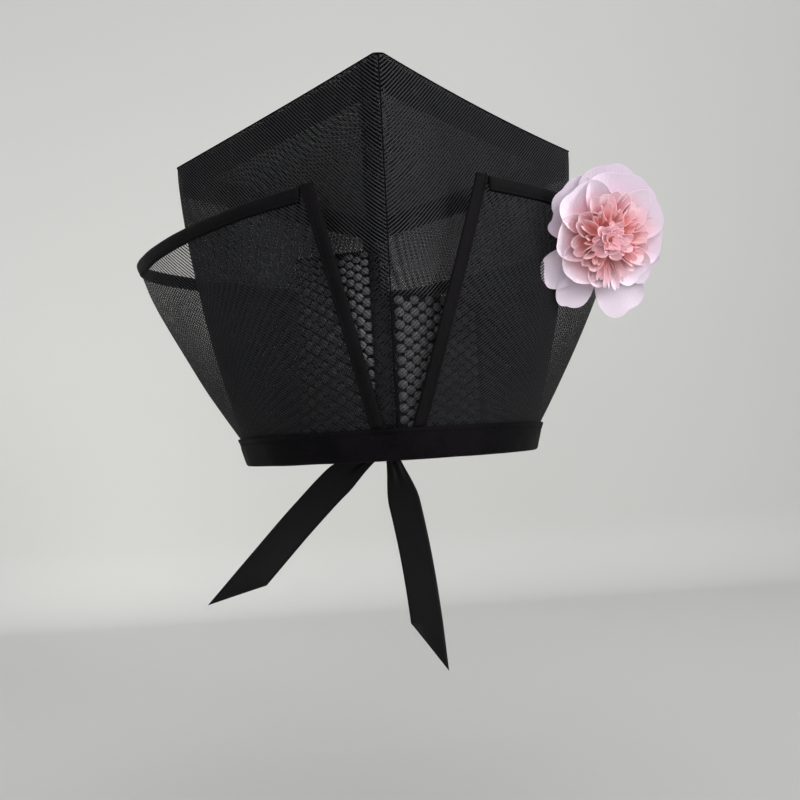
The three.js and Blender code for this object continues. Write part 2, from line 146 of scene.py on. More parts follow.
def outer_wall(side, half_x, rim_side, rim_front, v_bottom, v_top):
    """One side's outer wall, with its own rim heights and its own edge of the V."""

    def rim(angle):
        end = rim_front if math.cos(angle) > 0 else RIM_BACK
        return rim_side + (end - rim_side) * math.cos(angle) ** RIM_EASE

    return {
        "layer": OUTER_LAYER, "top": rim, "ease": 1, "half_x": half_x, "grow_x": 1.25,
        "front": (124.0, 1.6, 1.45), "back": (134.0, 1.25, 1.35),
        "side": side, "rim_front": rim_front, "v_bottom": v_bottom, "v_top": v_top,
    }


OUTER = {
    "left": outer_wall(-1, 141.5, 118.8, 128.0, 7.0, 33.0),
    "right": outer_wall(1, 142.0, 127.5, 130.5, 8.0, 44.0),
}
SIDES = (("left", -1), ("right", 1))

# Ties: points of each ribbon's middle line, from the middle of the knot
TIE_WIDTH = 23.0
TIE_CUT = 37.0
TIE_GATHERED = 0.38
TIE_GATHER_RUN = 40.0
KNOT_HALF = Vector((9.0, 5.5, 8.0))
KNOT_Z = 6.0
KNOT_STANDOFF = 1.3
TIE_ROUTES = {
    "left": ((-4.6, 0, 4.4), (-32, 3, -13), (-62, 4, -41), (-89, 2, -69), (-125, 1, -107)),
    "right": ((2.6, 0, 3.0), (11, 3, -38), (17, 4, -76), (21, 3, -114), (24, 2, -158)),
}

# Flower: its seat on the right rim and its facing
FLOWER_X = 105.5
FLOWER_Z = 111.0
FLOWER_STANDOFF = 23.0
FLOWER_FACING = Vector((0.05, -0.95, -0.3)).normalized()
CLIP_STANDOFF = 3.2

# Petals by ring: turn in degrees from the viewer's right, anticlockwise, half spread in
# degrees and reach in millimetres
BACK_PETALS = (
    (-146, 24, 35.5), (-119, 22, 37.5), (-69, 28, 40.5), (-33, 28, 32), (8, 34, 31), (44, 32, 33.5),
    (84, 40, 35.5), (126, 36, 32.5), (157, 26, 28.5),
)
CUP_PETALS = (
    (76, 50, 32), (126, 42, 30.0), (176, 42, 25.5), (-138, 40, 25.5), (-98, 30, 23), (-48, 34, 26),
    (-4, 40, 28), (36, 38, 29.5),
)
MIDDLE_PETALS = (
    (104, 26, 22), (146, 30, 19), (-170, 26, 19), (-132, 26, 17.5), (-58, 24, 20), (-24, 26, 20.5),
    (10, 24, 19), (44, 26, 21.5), (76, 22, 23),
)
INNER_PETALS = (
    (122, 17, 15), (150, 14, 17), (178, 16, 13.5), (-153, 14, 16), (-124, 17, 14), (-46, 15, 16.5),
    (-21, 13, 14), (5, 16, 16.5), (31, 13, 14), (55, 15, 17), (80, 16, 14.5), (101, 13, 17.5),
)
HANGING_PETALS = ((-103, 9, 20), (-92, 7, 23.5), (-80, 8, 25), (-67, 8, 22))
TINT_RADIUS = 36.0
SHARP_DEGREES = 60.0
HEART_PETALS = 14
HEART_SEED = 7


# Plan outlines. Angles run from the front, 0, by the side, a quarter turn, to the back.

def band_half(head_half, z, depth):
    return head_half + BAND_STACK - depth + BAND_FLARE * min(z, BAND_HEIGHT) / BAND_HEIGHT


def band_point(angle, z, depth):
    return Vector((
        band_half(HEAD_HALF[0], z, depth) * math.sin(angle),
        -band_half(HEAD_HALF[1], z, depth) * math.cos(angle),
        z,
    ))


def wall_section(wall, angle, z, depth):
    """Half widths and exponent of a wall's plan outline at one height."""
    half_y, grow_y, exponent_top = wall["front" if math.cos(angle) > 0 else "back"]
    share = max(0.0, (z - BAND_HEIGHT) / (wall["top"](angle) - BAND_HEIGHT))

    def grow(power):
        return 1 - max(0.0, 1 - share) ** power

    exponent = 2 - (2 - exponent_top) * grow(wall["ease"])
    inset = depth * 2 ** (1 / exponent - 0.5)
    layer_depth = wall["layer"] * LAYER_PITCH
    base_x = band_half(HEAD_HALF[0], z, layer_depth)
    base_y = band_half(HEAD_HALF[1], z, layer_depth)
    top_x = wall["half_x"] - band_half(HEAD_HALF[0], BAND_HEIGHT, layer_depth)
    top_y = half_y - band_half(HEAD_HALF[1], BAND_HEIGHT, layer_depth)
    return (
        base_x + top_x * grow(wall["grow_x"]) - inset,
        base_y + top_y * grow(grow_y) - inset,
        exponent,
    )


def wall_point(wall, side, angle, z, depth):
    half_x, half_y, exponent = wall_section(wall, angle, z, depth)
    blunt = CORNER_BLUNT * (2 - exponent)
    across = half_x * abs(math.sin(angle)) ** (2 / exponent)
    along = half_y * abs(math.cos(angle)) ** (2 / exponent)
    front = -math.copysign(1, math.cos(angle))
    sag = top_sag(side, angle, z) if wall["layer"] == CROWN_LAYER else 0.0
    return Vector((
        side * max(min(across, half_x - blunt), GAP / 2),
        front * min(along, half_y - blunt),
        z - sag,
    ))


def top_sag(side, angle, z):
    """How far the crown's top edge hangs in front: it rises to the front corner, and its
    right half is slack between its corners."""
    if math.cos(angle) < 0:
        return 0.0
    rise = max(0.0, (z - TOP_SAG_START) / (CROWN_HEIGHT - TOP_SAG_START))
    slack = TOP_SAG * math.sin(2 * angle) ** 2 if side > 0 else 0.0
    return (slack - APEX_RISE * math.cos(angle) ** 6) * rise ** 2


def angle_at(wall, x, z, depth, end="front"):
    """The angle at distance x from the middle plane, found in a few rounds."""
    angle = 0.0 if end == "front" else math.pi
    for _ in range(4):
        half_x, _, exponent = wall_section(wall, angle, z, depth)
        turn = math.asin(min(1.0, (x / half_x) ** (exponent / 2)))
        angle = turn if end == "front" else math.pi - turn
    return angle


def wall_point_by_x(wall, x, z, depth, end="front"):
    side = -1 if x < 0 else 1
    point = wall_point(wall, side, angle_at(wall, abs(x), z, depth, end), z, depth)
    point.x = x
    return point


def v_corner(wall):
    return wall["top"](angle_at(wall, wall["v_top"], wall["rim_front"], 0))


def v_edge(wall, z):
    share = (z - BAND_HEIGHT) / (v_corner(wall) - BAND_HEIGHT)
    return wall["v_bottom"] + (wall["v_top"] - wall["v_bottom"]) * min(1.0, share)


def outer_angle(wall, share, z):
    """Shares run from the V's edge, 0, by the side point, 1, to the middle of the back."""
    if share > 1:
        return math.pi / 2 * share
    start = angle_at(wall, v_edge(wall, z), z, 0)
    return start + (math.pi / 2 - start) * share


def outer_height(wall, share, rise):
    """Height of a row on one column: -1 in the band, 0 at its top, 1 at the rim."""
    if rise <= 0:
        return BAND_FLOOR + (BAND_HEIGHT - BAND_FLOOR) * (rise + 1)
    rim = wall["top"](outer_angle(wall, share, wall["rim_front"]))
    return BAND_HEIGHT + (rim - BAND_HEIGHT) * rise


# Meshes

def spread(low, high, steps):
    return [low + (high - low) * i / steps for i in range(steps + 1)]


def ripple(point, size, height, seed=0.0):
    """Smooth unevenness at a point, in millimetres."""
    return height * noise.noise(Vector(point) / size + Vector((seed, 1.7 * seed, -seed)))


def linked(name, data):
    """A new object of the data, in the scene."""
    piece = bpy.data.objects.new(name, data)
    bpy.context.scene.collection.objects.link(piece)
    return piece


def keep_values(piece, name, values, kind="FLOAT"):
    """Keeps a value for every point as an attribute."""
    data = piece.data.attributes.new(name, kind, "POINT").data
    data.foreach_set("value" if kind == "FLOAT" else "vector", values)


def new_object(name, points, faces=(), uvs=None, edges=()):
    """A mesh object from points in millimetres and their cloth coordinates."""
    mesh = bpy.data.meshes.new(name)
    mesh.from_pydata([Vector(p) * MM for p in points], edges, faces)
    if uvs:
        layer = mesh.uv_layers.new(name="cloth")
        for loop in mesh.loops:
            layer.data[loop.index].uv = uvs[loop.vertex_index]
    mesh.shade_smooth()
    return linked(name, mesh)


def path_object(name, lines):
    """An object of plain edge paths, one for each line of points."""
    points, edges = [], []
    for line in lines:
        start = len(points)
        points += line
        edges += [(start + i, start + i + 1) for i in range(len(line) - 1)]
    return new_object(name, points, edges=edges)


def thicken(piece, thickness):
    """Gives a sheet its thickness, half to each side."""
    solidify = piece.modifiers.new("thickness", "SOLIDIFY")
    solidify.thickness = thickness * MM
    solidify.offset = 0


def make_plain(piece):
    """Keeps the modifiers' result as the piece's plain mesh."""
    evaluated = piece.evaluated_get(bpy.context.evaluated_depsgraph_get())
    mesh = bpy.data.meshes.new_from_object(evaluated)
    piece.modifiers.clear()
    piece.data = mesh
    mesh.shade_smooth()


def cloth_coordinates(grid, anchor, side=1):
    """Flat coordinates of a grid of points, in millimetres: along each row from the anchor
    column, and up each column from its foot. Grid columns run along the cloth."""
    columns, rows = len(grid), len(grid[0])
    along = [[0.0] * rows for _ in range(columns)]
    for j in range(rows):
        for i in range(anchor + 1, columns):
            along[i][j] = along[i - 1][j] + (grid[i][j] - grid[i - 1][j]).length
        for i in range(anchor - 1, -1, -1):
            along[i][j] = along[i + 1][j] - (grid[i][j] - grid[i + 1][j]).length
    up = [[0.0] * rows for _ in range(columns)]
    for i in range(columns):
        up[i][0] = grid[i][0].z
        for j in range(1, rows):
            up[i][j] = up[i][j - 1] + (grid[i][j] - grid[i][j - 1]).length
    return [(side * along[i][j], up[i][j]) for i in range(columns) for j in range(rows)]


def grid_faces(columns, rows, flip=False, start=0):
    faces = []
    for i in range(columns - 1):
        for j in range(rows - 1):
            a = start + i * rows + j
            face = (a, a + rows, a + rows + 1, a + 1)
            faces.append(face[::-1] if flip else face)
    return faces


def round_faces(rings, turns, start=0):
    """Faces between closed rings of points that follow one another."""
    faces = []
    for i in range(rings - 1):
        here, there = start + i * turns, start + (i + 1) * turns
        for k in range(turns):
            n = (k + 1) % turns
            faces.append((here + k, there + k, there + n, here + n))
    return faces


def closed_round(name, rings, poles, uvs=None):
    """A closed piece from rings of points between two poles."""
    turns, last = len(rings[0]), (len(rings) - 1) * len(rings[0])
    points = [p for ring in rings for p in ring] + list(poles)
    first_pole, last_pole = len(points) - 2, len(points) - 1
    faces = round_faces(len(rings), turns)
    for k in range(turns):
        n = (k + 1) % turns
        faces += [(first_pole, k, n), (last_pole, last + n, last + k)]
    piece = new_object(name, points, faces, uvs and [uvs(p) for p in points])
    recalculate(piece)
    return piece


def add_grid(points, faces, grid):
    """Adds a grid's points and faces to those of a piece of many grids."""
    faces += grid_faces(len(grid), len(grid[0]), True, len(points))
    points += [p for column in grid for p in column]


def sheet_from_grid(name, grid, thickness, uvs, flip=False):
    """A sheet of cloth from a grid of points."""
    points = [p for column in grid for p in column]
    piece = new_object(name, points, grid_faces(len(grid), len(grid[0]), flip), uvs)
    thicken(piece, thickness)
    return piece


def swept(name, stations, section, place, ring=False):
    """A closed section carried along stations. Cloth coordinates run round the section and
    along the run."""
    count, last = len(section), len(stations) - 1
    points = [place(s, x, y) for s in stations for x, y in section]
    faces = []
    for i in range(last + ring):
        here, there = i * count, ((i + 1) % len(stations)) * count
        for j in range(count):
            k = (j + 1) % count
            faces.append((here + j, here + k, there + k, there + j))
    if not ring:
        faces.append(tuple(range(count))[::-1])
        faces.append(tuple(last * count + j for j in range(count)))
    around = [0.0]
    for (x0, y0), (x1, y1) in zip(section, section[1:]):
        around.append(around[-1] + math.hypot(x1 - x0, y1 - y0))
    run, uvs = 0.0, []
    for i in range(len(stations)):
        if i:
            run += (points[i * count] - points[(i - 1) * count]).length
        uvs += [(run, a) for a in around]
    piece = new_object(name, points, faces, uvs)
    recalculate(piece)
    return piece


def recalculate(piece):
    """Turns the faces of a closed mesh outwards."""
    mesh = piece.data
    corners = [v.co for v in mesh.vertices]
    volume = 0.0
    for polygon in mesh.polygons:
        ids = polygon.vertices
        for k in range(1, len(ids) - 1):
            volume += corners[ids[0]].dot(corners[ids[k]].cross(corners[ids[k + 1]]))
    if volume < 0:
        mesh.flip_normals()


def finish_piece(piece, material, slot, *nodes):
    piece.data.materials.clear()
    piece.data.materials.append(material)
    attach(piece, BODY)
    if nodes:
        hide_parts(*nodes)


# Node trees

class Tree:
    """Short calls for building one node tree. A value is a number, a colour or a socket."""

    def plug(self, value, socket):
        if isinstance(value, bpy.types.NodeSocket):
            self.tree.links.new(value, socket)
        else:
            socket.default_value = (*value, 1.0) if socket.type == "RGBA" else value

    def node(self, kind, values=None, **settings):
        made = self.tree.nodes.new(kind)
        for key, value in settings.items():
            setattr(made, key, value)
        for key, value in (values or {}).items():
            self.plug(value, made.inputs[key])
        return made


# Materials

def scaled(colour, share):
    return tuple(min(1.0, c * share) for c in colour)


class Shader(Tree):
    """One procedural material."""

    def __init__(self, name, **sockets):
        old = bpy.data.materials.get(name)
        if old:
            bpy.data.materials.remove(old)
        self.material = bpy.data.materials.new(name)
        self.material.use_nodes = True
        self.tree = self.material.node_tree
        self.surface = self.tree.nodes["Principled BSDF"]
        self.feed(**sockets)

    def feed(self, **sockets):
        """Gives the surface's sockets their values and returns the material."""
        for name, value in sockets.items():
            self.plug(value, self.surface.inputs[name.replace("_", " ")])
        return self.material

    def math(self, operation, *values):
        return self.node("ShaderNodeMath", dict(enumerate(values)), operation=operation).outputs[0]

    def times(self, a, b):
        return self.math("MULTIPLY", a, b)

    def line(self, value, slope, start):
        return self.math("MULTIPLY_ADD", value, slope, start)

    def split(self, vector):
        return self.node("ShaderNodeSeparateXYZ", {0: vector}).outputs

    def cloth(self):
        """The cloth coordinates, and each of the two."""
        uv = self.node("ShaderNodeUVMap", uv_map="cloth").outputs[0]
        parts = self.split(uv)
        return uv, parts[0], parts[1]

    def place(self):
        return self.node("ShaderNodeTexCoord").outputs["Object"]

    def attribute(self, name):
        return self.node("ShaderNodeAttribute", attribute_name=name).outputs["Fac"]

    def noise(self, vector, scale, detail=2.0, roughness=0.5):
        values = {"Vector": vector, "Scale": scale, "Detail": detail, "Roughness": roughness}
        return self.node("ShaderNodeTexNoise", values).outputs[0]

    def streaks(self, vector, scale):
        stretched = self.node("ShaderNodeMapping", {"Vector": vector, "Scale": scale})
        return self.noise(stretched.outputs[0], 1.0, 3.0)

    def ramp(self, value, stops):
        made = self.node("ShaderNodeValToRGB", {0: value})
        band = made.color_ramp
        while len(band.elements) < len(stops):
            band.elements.new(0.5)
        for element, (position, colour) in zip(band.elements, stops):
            element.position = position
            element.color = (*colour, 1.0)
        return made.outputs[0]

    def remap(self, value, low, high, to_low=0.0, to_high=1.0):
        values = {0: value, 1: low, 2: high, 3: to_low, 4: to_high}
        return self.node("ShaderNodeMapRange", values, interpolation_type="SMOOTHSTEP").outputs[0]

    def mix(self, share, a, b, blend="MIX"):
        values = {0: share, 6: a, 7: b}
        return self.node("ShaderNodeMix", values, data_type="RGBA", blend_type=blend).outputs[2]

    def tone(self, value, low, high, colour, dark, pale):
        """Shades of a colour, from dark to pale as a value goes from low to high."""
        return self.mix(self.remap(value, low, high), scaled(colour, dark), scaled(colour, pale))

    def bump(self, height, distance, strength):
        made = self.node("ShaderNodeBump", {"Height": height, "Distance": distance, "Strength": strength})
        self.feed(Normal=made.outputs[0])

    def threads(self, u, v, degrees, pitch):
        """0 midway between threads of one set and 1 on a thread's middle line."""
        turn = math.radians(degrees + 90)
        across = self.times(u, math.cos(turn) / pitch)
        line = self.line(v, math.sin(turn) / pitch, across)
        return self.times(self.math("PINGPONG", line, 0.5), 2.0)


def gauze(name, colour, pitch, openness, lean, opening=(0.0, 0.0), closing=0.0):
    """Open diagonal weave: coarse threads one way, finer ones across them. An attribute of
    the piece opens the weave further where it is 1, and closing draws it together low down."""
    shader = Shader(name, Roughness=0.6, Specular_IOR_Level=0.03)
    _, u, v = shader.cloth()
    place = shader.place()
    coarse = shader.threads(shader.line(shader.noise(place, 60.0), THREAD_WANDER, u), v, lean, pitch)
    fine = shader.threads(u, v, -lean, pitch * FINE_THREADS)
    opened = shader.attribute("open")
    low, high = (z * MM for z in DRAWN_HEIGHTS)
    drawn = shader.remap(shader.split(place)[2], low, high, closing, 0.0)
    clear = []
    for threads, start, more, soft in zip((coarse, fine), openness, opening, THREAD_EDGES):
        edge = shader.math("SUBTRACT", shader.line(opened, more, start), drawn)
        clear.append(shader.remap(shader.math("SUBTRACT", edge, threads), -soft, soft))
    patch = shader.noise(place, 22.0, 3.0)
    gaps = shader.times(shader.times(*clear), shader.line(patch, 0.3, 0.82))
    alpha = shader.math("SUBTRACT", 1.0, gaps)
    alpha.node.use_clamp = True
    # The threads' colour is paler along the tops of the coarse ribs and near black between them: painted
    # highlight and painted shade, mixed with random paler and darker patches, and darker where the weave is
    # opened.
    ribs = shader.times(shader.remap(coarse, 0.42, 0.95), shader.remap(fine, 0.0, 0.9, 0.7, 1.0))
    lit_ribs_and_patches = shader.times(ribs, shader.line(patch, 0.7, 0.65))
    lit_ribs_and_patches = shader.times(lit_ribs_and_patches, shader.line(opened, -0.55, 1.0))
    shader.bump(shader.line(fine, 0.4, coarse), 0.0004, 0.5)
    return shader.feed(Base_Color=shader.mix(lit_ribs_and_patches, scaled(colour, 0.02), colour), Alpha=alpha)


def band_cloth(name, colour, lean=0.0, gloss=0.04):
    """Plain black cloth with fine ribs, soft creases and paler fuzz; its colour is darker in the creases'
    hollows and paler on their crests, painted shade and painted highlight.
    """
    shader = Shader(name, Specular_IOR_Level=gloss)
    _, u, v = shader.cloth()
    place = shader.place()
    creases = shader.noise(place, 55.0, 4.0, 0.6)
    fuzz = shader.remap(shader.noise(place, 900.0), 0.45, 0.8, 0.0, 0.5)
    # Painted shade and highlight: darker in the creases' hollows, paler on their crests.
    shade = shader.tone(creases, 0.35, 0.7, colour, 0.6, 1.5)
    shade = shader.mix(fuzz, shade, scaled(colour, 2.6))
    ribs = shader.math("ADD", *(shader.threads(u, v, way + lean, 0.55) for way in (45.0, -45.0)))
    shader.bump(shader.line(ribs, 0.12, creases), 0.0009, 0.5)
    return shader.feed(Base_Color=shade, Roughness=shader.remap(creases, 0.3, 0.75, 0.58, 0.74))


def ribbon_satin(name, colour):
    """Satin ribbon: fine cross ribs and a soft streaky gloss along its length, partly from roughness and
    partly a painted sheen, its colour paler along the streaks.
    """
    shader = Shader(name, Specular_IOR_Level=0.1)
    uv, u, v = shader.cloth()
    streaks = shader.streaks(uv, (0.03, 1.1, 1.0))
    shader.bump(shader.line(shader.threads(u, v, 90.0, 0.6), 0.25, streaks), 0.0003, 0.5)
    # Painted sheen: the colour is paler along the streaks.
    shade = shader.tone(streaks, 0.3, 0.75, colour, 0.7, 1.6)
    return shader.feed(Base_Color=shade, Roughness=shader.remap(streaks, 0.3, 0.75, 0.3, 0.46))


def net_cloth(name, colour):
    """Fine black backing of the honeycomb: a close, half open mesh."""
    shader = Shader(name, Roughness=0.75, Specular_IOR_Level=0.03)
    _, u, v = shader.cloth()
    threads = [shader.threads(u, v, way, 0.8) for way in (60.0, -60.0)]
    gaps = shader.times(*(shader.remap(one, 0.3, 0.5, 1.0, 0.0) for one in threads))
    shader.bump(shader.math("ADD", *threads), 0.0002, 0.5)
    # Painted highlight: each thread's middle is paler than its sides.
    shade = shader.tone(threads[0], 0.4, 1.0, colour, 1.0, 1.6)
    return shader.feed(Base_Color=shade, Alpha=shader.math("SUBTRACT", 1.0, gaps))


def net_cell(name, colour):
    """Raised grey cells of the net, finely knitted; left of the ridge their colour is painted paler, painted
    light for cells that get less light.
    """
    shader = Shader(name, Roughness=0.8, Specular_IOR_Level=0.06)
    place = shader.place()
    knit = shader.node("ShaderNodeTexVoronoi", {"Vector": place, "Scale": 1500.0}).outputs[0]
    shade = shader.tone(knit, 0.1, 0.7, colour, 0.45, 1.35)
    patch = shader.remap(shader.noise(place, 140.0), 0.3, 0.7, 0.0, 0.4)
    shade = shader.mix(patch, shade, scaled(colour, 0.7))
    # Painted light: cells left of the ridge are painted paler, where less light reaches them.
    left = shader.remap(shader.split(place)[0], CELL_PAINTED_LIGHT_X * MM, 0.0, 1.0, 0.0)
    shader.bump(knit, 0.0002, 0.6)
    return shader.feed(Base_Color=shader.mix(left, shade, [CELL_PAINTED_LIGHT] * 3, "MULTIPLY"))


def petal_cloth(name, deep, middle, edge, deep_at=0.24, edge_at=0.7):
    """Petal cloth: deep at the root, paling to the edge, with fine veins."""
    shader = Shader(name, Roughness=0.7, Sheen_Weight=0.25, Sheen_Roughness=0.5, Specular_IOR_Level=0.2)
    place = shader.place()
    shift = shader.line(shader.noise(place, 90.0, 3.0), 0.3, -0.15)
    stops = ((deep_at, deep), ((deep_at + edge_at) / 2, middle), (edge_at, edge))
    root_to_edge = shader.ramp(shader.math("ADD", shader.attribute("tint"), shift), stops)
    veins = shader.streaks(shader.cloth()[0], (2.2, 0.1, 1.0))
    shade = shader.mix(shader.remap(veins, 0.45, 0.75, 0.0, 0.25), root_to_edge, scaled(middle, 0.9))
    shader.bump(shader.line(shader.noise(place, 2600.0, 1.0), 0.3, veins), 0.0004, 0.45)
    return shader.feed(Base_Color=shade)


def moulded_green(name, colour):
    shader = Shader(name, Roughness=0.45)
    patch = shader.noise(shader.place(), 160.0, 3.0)
    shader.bump(patch, 0.0004, 0.4)
    return shader.feed(Base_Color=shader.tone(patch, 0.3, 0.7, colour, 0.75, 1.2))


def enamelled(name, colour):
    shader = Shader(name, Coat_Weight=0.3)
    patch = shader.noise(shader.place(), 220.0, 3.0)
    shader.bump(patch, 0.0002, 0.2)
    shade = shader.mix(patch, scaled(colour, 0.7), scaled(colour, 1.4))
    return shader.feed(Base_Color=shade, Roughness=shader.remap(patch, 0.3, 0.7, 0.28, 0.42))


def stage_paint(name, colour):
    shader = Shader(name, Roughness=0.85)
    patch = shader.noise(shader.place(), 1.6, 3.0)
    return shader.feed(Base_Color=shader.tone(patch, 0.3, 0.7, colour, 0.985, 1.0))


# Geometry Nodes

class Nodes(Tree):
    """One Geometry Nodes tree that puts a shape on every point of a mesh or a path."""

    def __init__(self, name):
        self.tree = bpy.data.node_groups.new(name, "GeometryNodeTree")
        for way in ("INPUT", "OUTPUT"):
            self.tree.interface.new_socket("Geometry", in_out=way, socket_type="NodeSocketGeometry")
        self.start = self.tree.nodes.new("NodeGroupInput")
        self.end = self.tree.nodes.new("NodeGroupOutput")

    def input(self, name, default=None):
        """A new input: a length where it has a default, and otherwise a material."""
        kind = "NodeSocketMaterial" if default is None else "NodeSocketFloat"
        socket = self.tree.interface.new_socket(name, in_out="INPUT", socket_type=kind)
        if default is not None:
            socket.default_value = default
        return self.start.outputs[name]

    def attribute(self, name):
        made = self.node("GeometryNodeInputNamedAttribute", {"Name": name}, data_type="FLOAT_VECTOR")
        return made.outputs[0]

    def place(self, points, shape, turn, size):
        """Puts the shape on the points, as plain faces of one material."""
        placed = self.node("GeometryNodeInstanceOnPoints", {
            "Points": points, "Instance": shape.outputs["Mesh"], "Rotation": turn.outputs[0], "Scale": size,
        })
        real = self.node("GeometryNodeRealizeInstances", {0: placed.outputs[0]})
        painted = self.node("GeometryNodeSetMaterial", {
            "Geometry": real.outputs[0], "Material": self.input("Material"),
        })
        self.tree.links.new(painted.outputs[0], self.end.inputs[0])
        return self.tree


def stitch_tree():
    """Stitches laid end to end along a path: each is a small rounded length of thread."""
    nodes = Nodes("hat_stitches")
    pitch = nodes.input("Pitch", 0.0026)
    length = nodes.input("Stitch Length", 0.0019)
    thread = nodes.input("Thread", 0.0004)
    path = nodes.node("GeometryNodeMeshToCurve", {0: nodes.start.outputs[0]})
    even = nodes.node("GeometryNodeResampleCurve", {"Curve": path.outputs[0], "Length": pitch}, mode="LENGTH")
    tangent = nodes.node("GeometryNodeInputTangent")
    turn = nodes.node("FunctionNodeAlignRotationToVector", {"Vector": tangent.outputs[0]}, axis="X")
    ball = nodes.node("GeometryNodeMeshUVSphere", {"Segments": 8, "Rings": 5, "Radius": 0.5})
    size = nodes.node("ShaderNodeCombineXYZ", {0: length, 1: thread, 2: thread})
    return nodes.place(even.outputs[0], ball, turn, size.outputs[0])


def net_tree():
    """Raised round cells on the points of the net, each turned to its point's normal."""
    nodes = Nodes("hat_net_cells")
    radius = nodes.input("Cell Radius", 0.002)
    height = nodes.input("Cell Height", 0.0004)
    turn = nodes.node(
        "FunctionNodeAxesToRotation", {0: nodes.attribute("facing"), 1: nodes.attribute("level")},
        primary_axis="Z", secondary_axis="X",
    )
    cell = nodes.node("GeometryNodeMeshCone", {
        "Vertices": 12, "Side Segments": 2, "Fill Segments": 1, "Radius Top": radius,
        "Radius Bottom": radius, "Depth": height,
    })
    return nodes.place(nodes.start.outputs[0], cell, turn, nodes.attribute("cell"))


def run_nodes(piece, tree, values):
    """Runs a tree on a piece and keeps its result as the piece's plain mesh."""
    modifier = piece.modifiers.new(tree.name, "NODES")
    modifier.node_group = tree
    for item in tree.interface.items_tree:
        if item.item_type == "SOCKET" and item.in_out == "INPUT" and item.name in values:
            modifier[item.identifier] = values[item.name]
    make_plain(piece)


# Pieces

def net_top(x):
    """The net's top edge, which is lower to the right of the ridge's seam."""
    return NET_TOP["left" if x < NET_STEP_X else "right"] + NET_TOP_SLOPE * x


def net_share(point):
    """1 in front of the net, falling to 0 round it, where the crown's gauze is closer."""
    if point.y > 0:
        return 0.0
    inside = min(NET_HALF_WIDTH - abs(point.x), net_top(point.x) - point.z)
    return max(0.0, min(1.0, inside / 4 + 0.3))


def outward(point):
    return Vector((point.x, point.y, 0)).normalized()


def crown_edge(turn):
    """The crown's top edge at a turn round the whole crown, from the front."""
    side = 1 if turn <= math.pi else -1
    angle = turn if side > 0 else 2 * math.pi - turn
    return wall_point(CROWN, side, angle, CROWN_EDGE, CLOTH / 2)


def crown_gauze(sizes, materials):
    """The crown's two halves, each from the front ridge round to the back one. The cloth is
    uneven between the edges that hold it, and open in front of the net."""
    for word, side in SIDES:
        grid = []
        for angle in spread(0.0, math.pi, 96):
            column = []
            for z in [BAND_FLOOR, *spread(BAND_HEIGHT, CROWN_EDGE, 36)]:
                point = wall_point(CROWN, side, angle, z, CLOTH / 2)
                held = max(0.0, min(1.0, (z - BAND_HEIGHT) / 25, (CROWN_WALL_TOP - z) / 20))
                calm = min(1.0, abs(math.sin(2 * angle)) * 2.2)
                column.append(point + outward(point) * ripple(point, 46.0, 0.9, 3.0 + side) * held * calm)
            grid.append(column)
        uvs = cloth_coordinates(grid, 48)
        piece = sheet_from_grid(f"crown_gauze_{word}", grid, sizes.gauze_thickness / MM, uvs, flip=side > 0)
        keep_values(piece, "open", [net_share(point) for column in grid for point in column])
        finish_piece(piece, materials["gauze"], "gauze", f"crown_wall_{word}")


def crown_top_gauze(sizes, materials):
    """The flat top, a little slack between its edges."""
    rings, turns = 14, 96
    level = CROWN_HEIGHT - CLOTH / 2
    points = [Vector((0, 0, level - TOP_SLACK))]
    for ring in range(1, rings + 1):
        share = ring / rings
        for k in range(turns):
            edge = crown_edge(2 * math.pi * k / turns)
            if abs(edge.x) <= GAP:
                edge.x = 0
            slack = TOP_SLACK * (1 - share ** 2) + (CROWN_EDGE - edge.z) * share ** 4
            points.append(Vector((edge.x * share, edge.y * share, level - slack)))
    faces = [(0, 1 + k, 1 + (k + 1) % turns) for k in range(turns)] + round_faces(rings, turns, 1)
    piece = new_object("crown_top_gauze", points, faces, [(p.x, p.y) for p in points])
    thicken(piece, sizes.gauze_thickness / MM)
    if piece.data.polygons[0].normal.z < 0:
        piece.data.flip_normals()
    finish_piece(piece, materials["gauze"], "gauze", "crown_top")


def crown_facings(sizes, materials):
    """Doubled cloth inside the crown, under the top's edge."""
    low = CROWN_WALL_TOP - FACING_HEIGHT
    for word, side in SIDES:
        grid = []
        for angle in spread(0.0, math.pi, 96):
            edge = ripple((40 * angle, 0, 0), 9.0, 0.5, side)
            rows = spread(low + edge, CROWN_WALL_TOP - 0.3, 6)
            grid.append([wall_point(CROWN, side, angle, z, INSIDE_DEPTH) for z in rows])
        uvs = cloth_coordinates(grid, 48, -1)
        piece = sheet_from_grid(f"top_hem_{word}", grid, 2 * sizes.gauze_thickness / MM, uvs, flip=side > 0)
        finish_piece(piece, materials["doubled"], "gauze", f"top_facing_{word}")


def seam_hems(sizes, materials):
    """Strips of doubled cloth along the crown's ridges and the outer wall's back seam."""
    def strip(name, wall, end, across, heights, depth, node):
        grid = [[wall_point_by_x(wall, x, z, depth, end) for z in heights] for x in across]
        uvs = cloth_coordinates(grid, 0)
        piece = sheet_from_grid(name, grid, 2 * sizes.gauze_thickness / MM, uvs, flip=end == "back")
        finish_piece(piece, materials["doubled"], "gauze", node)
        return piece

    across = spread(-RIDGE_SEAM_START - RIDGE_SEAM_WIDTH, -RIDGE_SEAM_START, 8)
    heights = spread(BAND_HEIGHT + GAP, CROWN_WALL_TOP - FACING_HEIGHT - GAP, 40)
    for end in ("front", "back"):
        piece = strip(f"ridge_hem_{end}", CROWN, end, across, heights, INSIDE_DEPTH, f"ridge_seam_{end}")
    across = spread(-BACK_SEAM_WIDTH / 2, BACK_SEAM_WIDTH / 2, 8)
    heights = spread(BAND_HEIGHT + GAP, RIM_BACK - RIM_TAPE_WIDTH - GAP, 30)
    piece = strip("outer_back_hem", OUTER["left"], "back", across, heights, -0.6, "outer_back_seam")


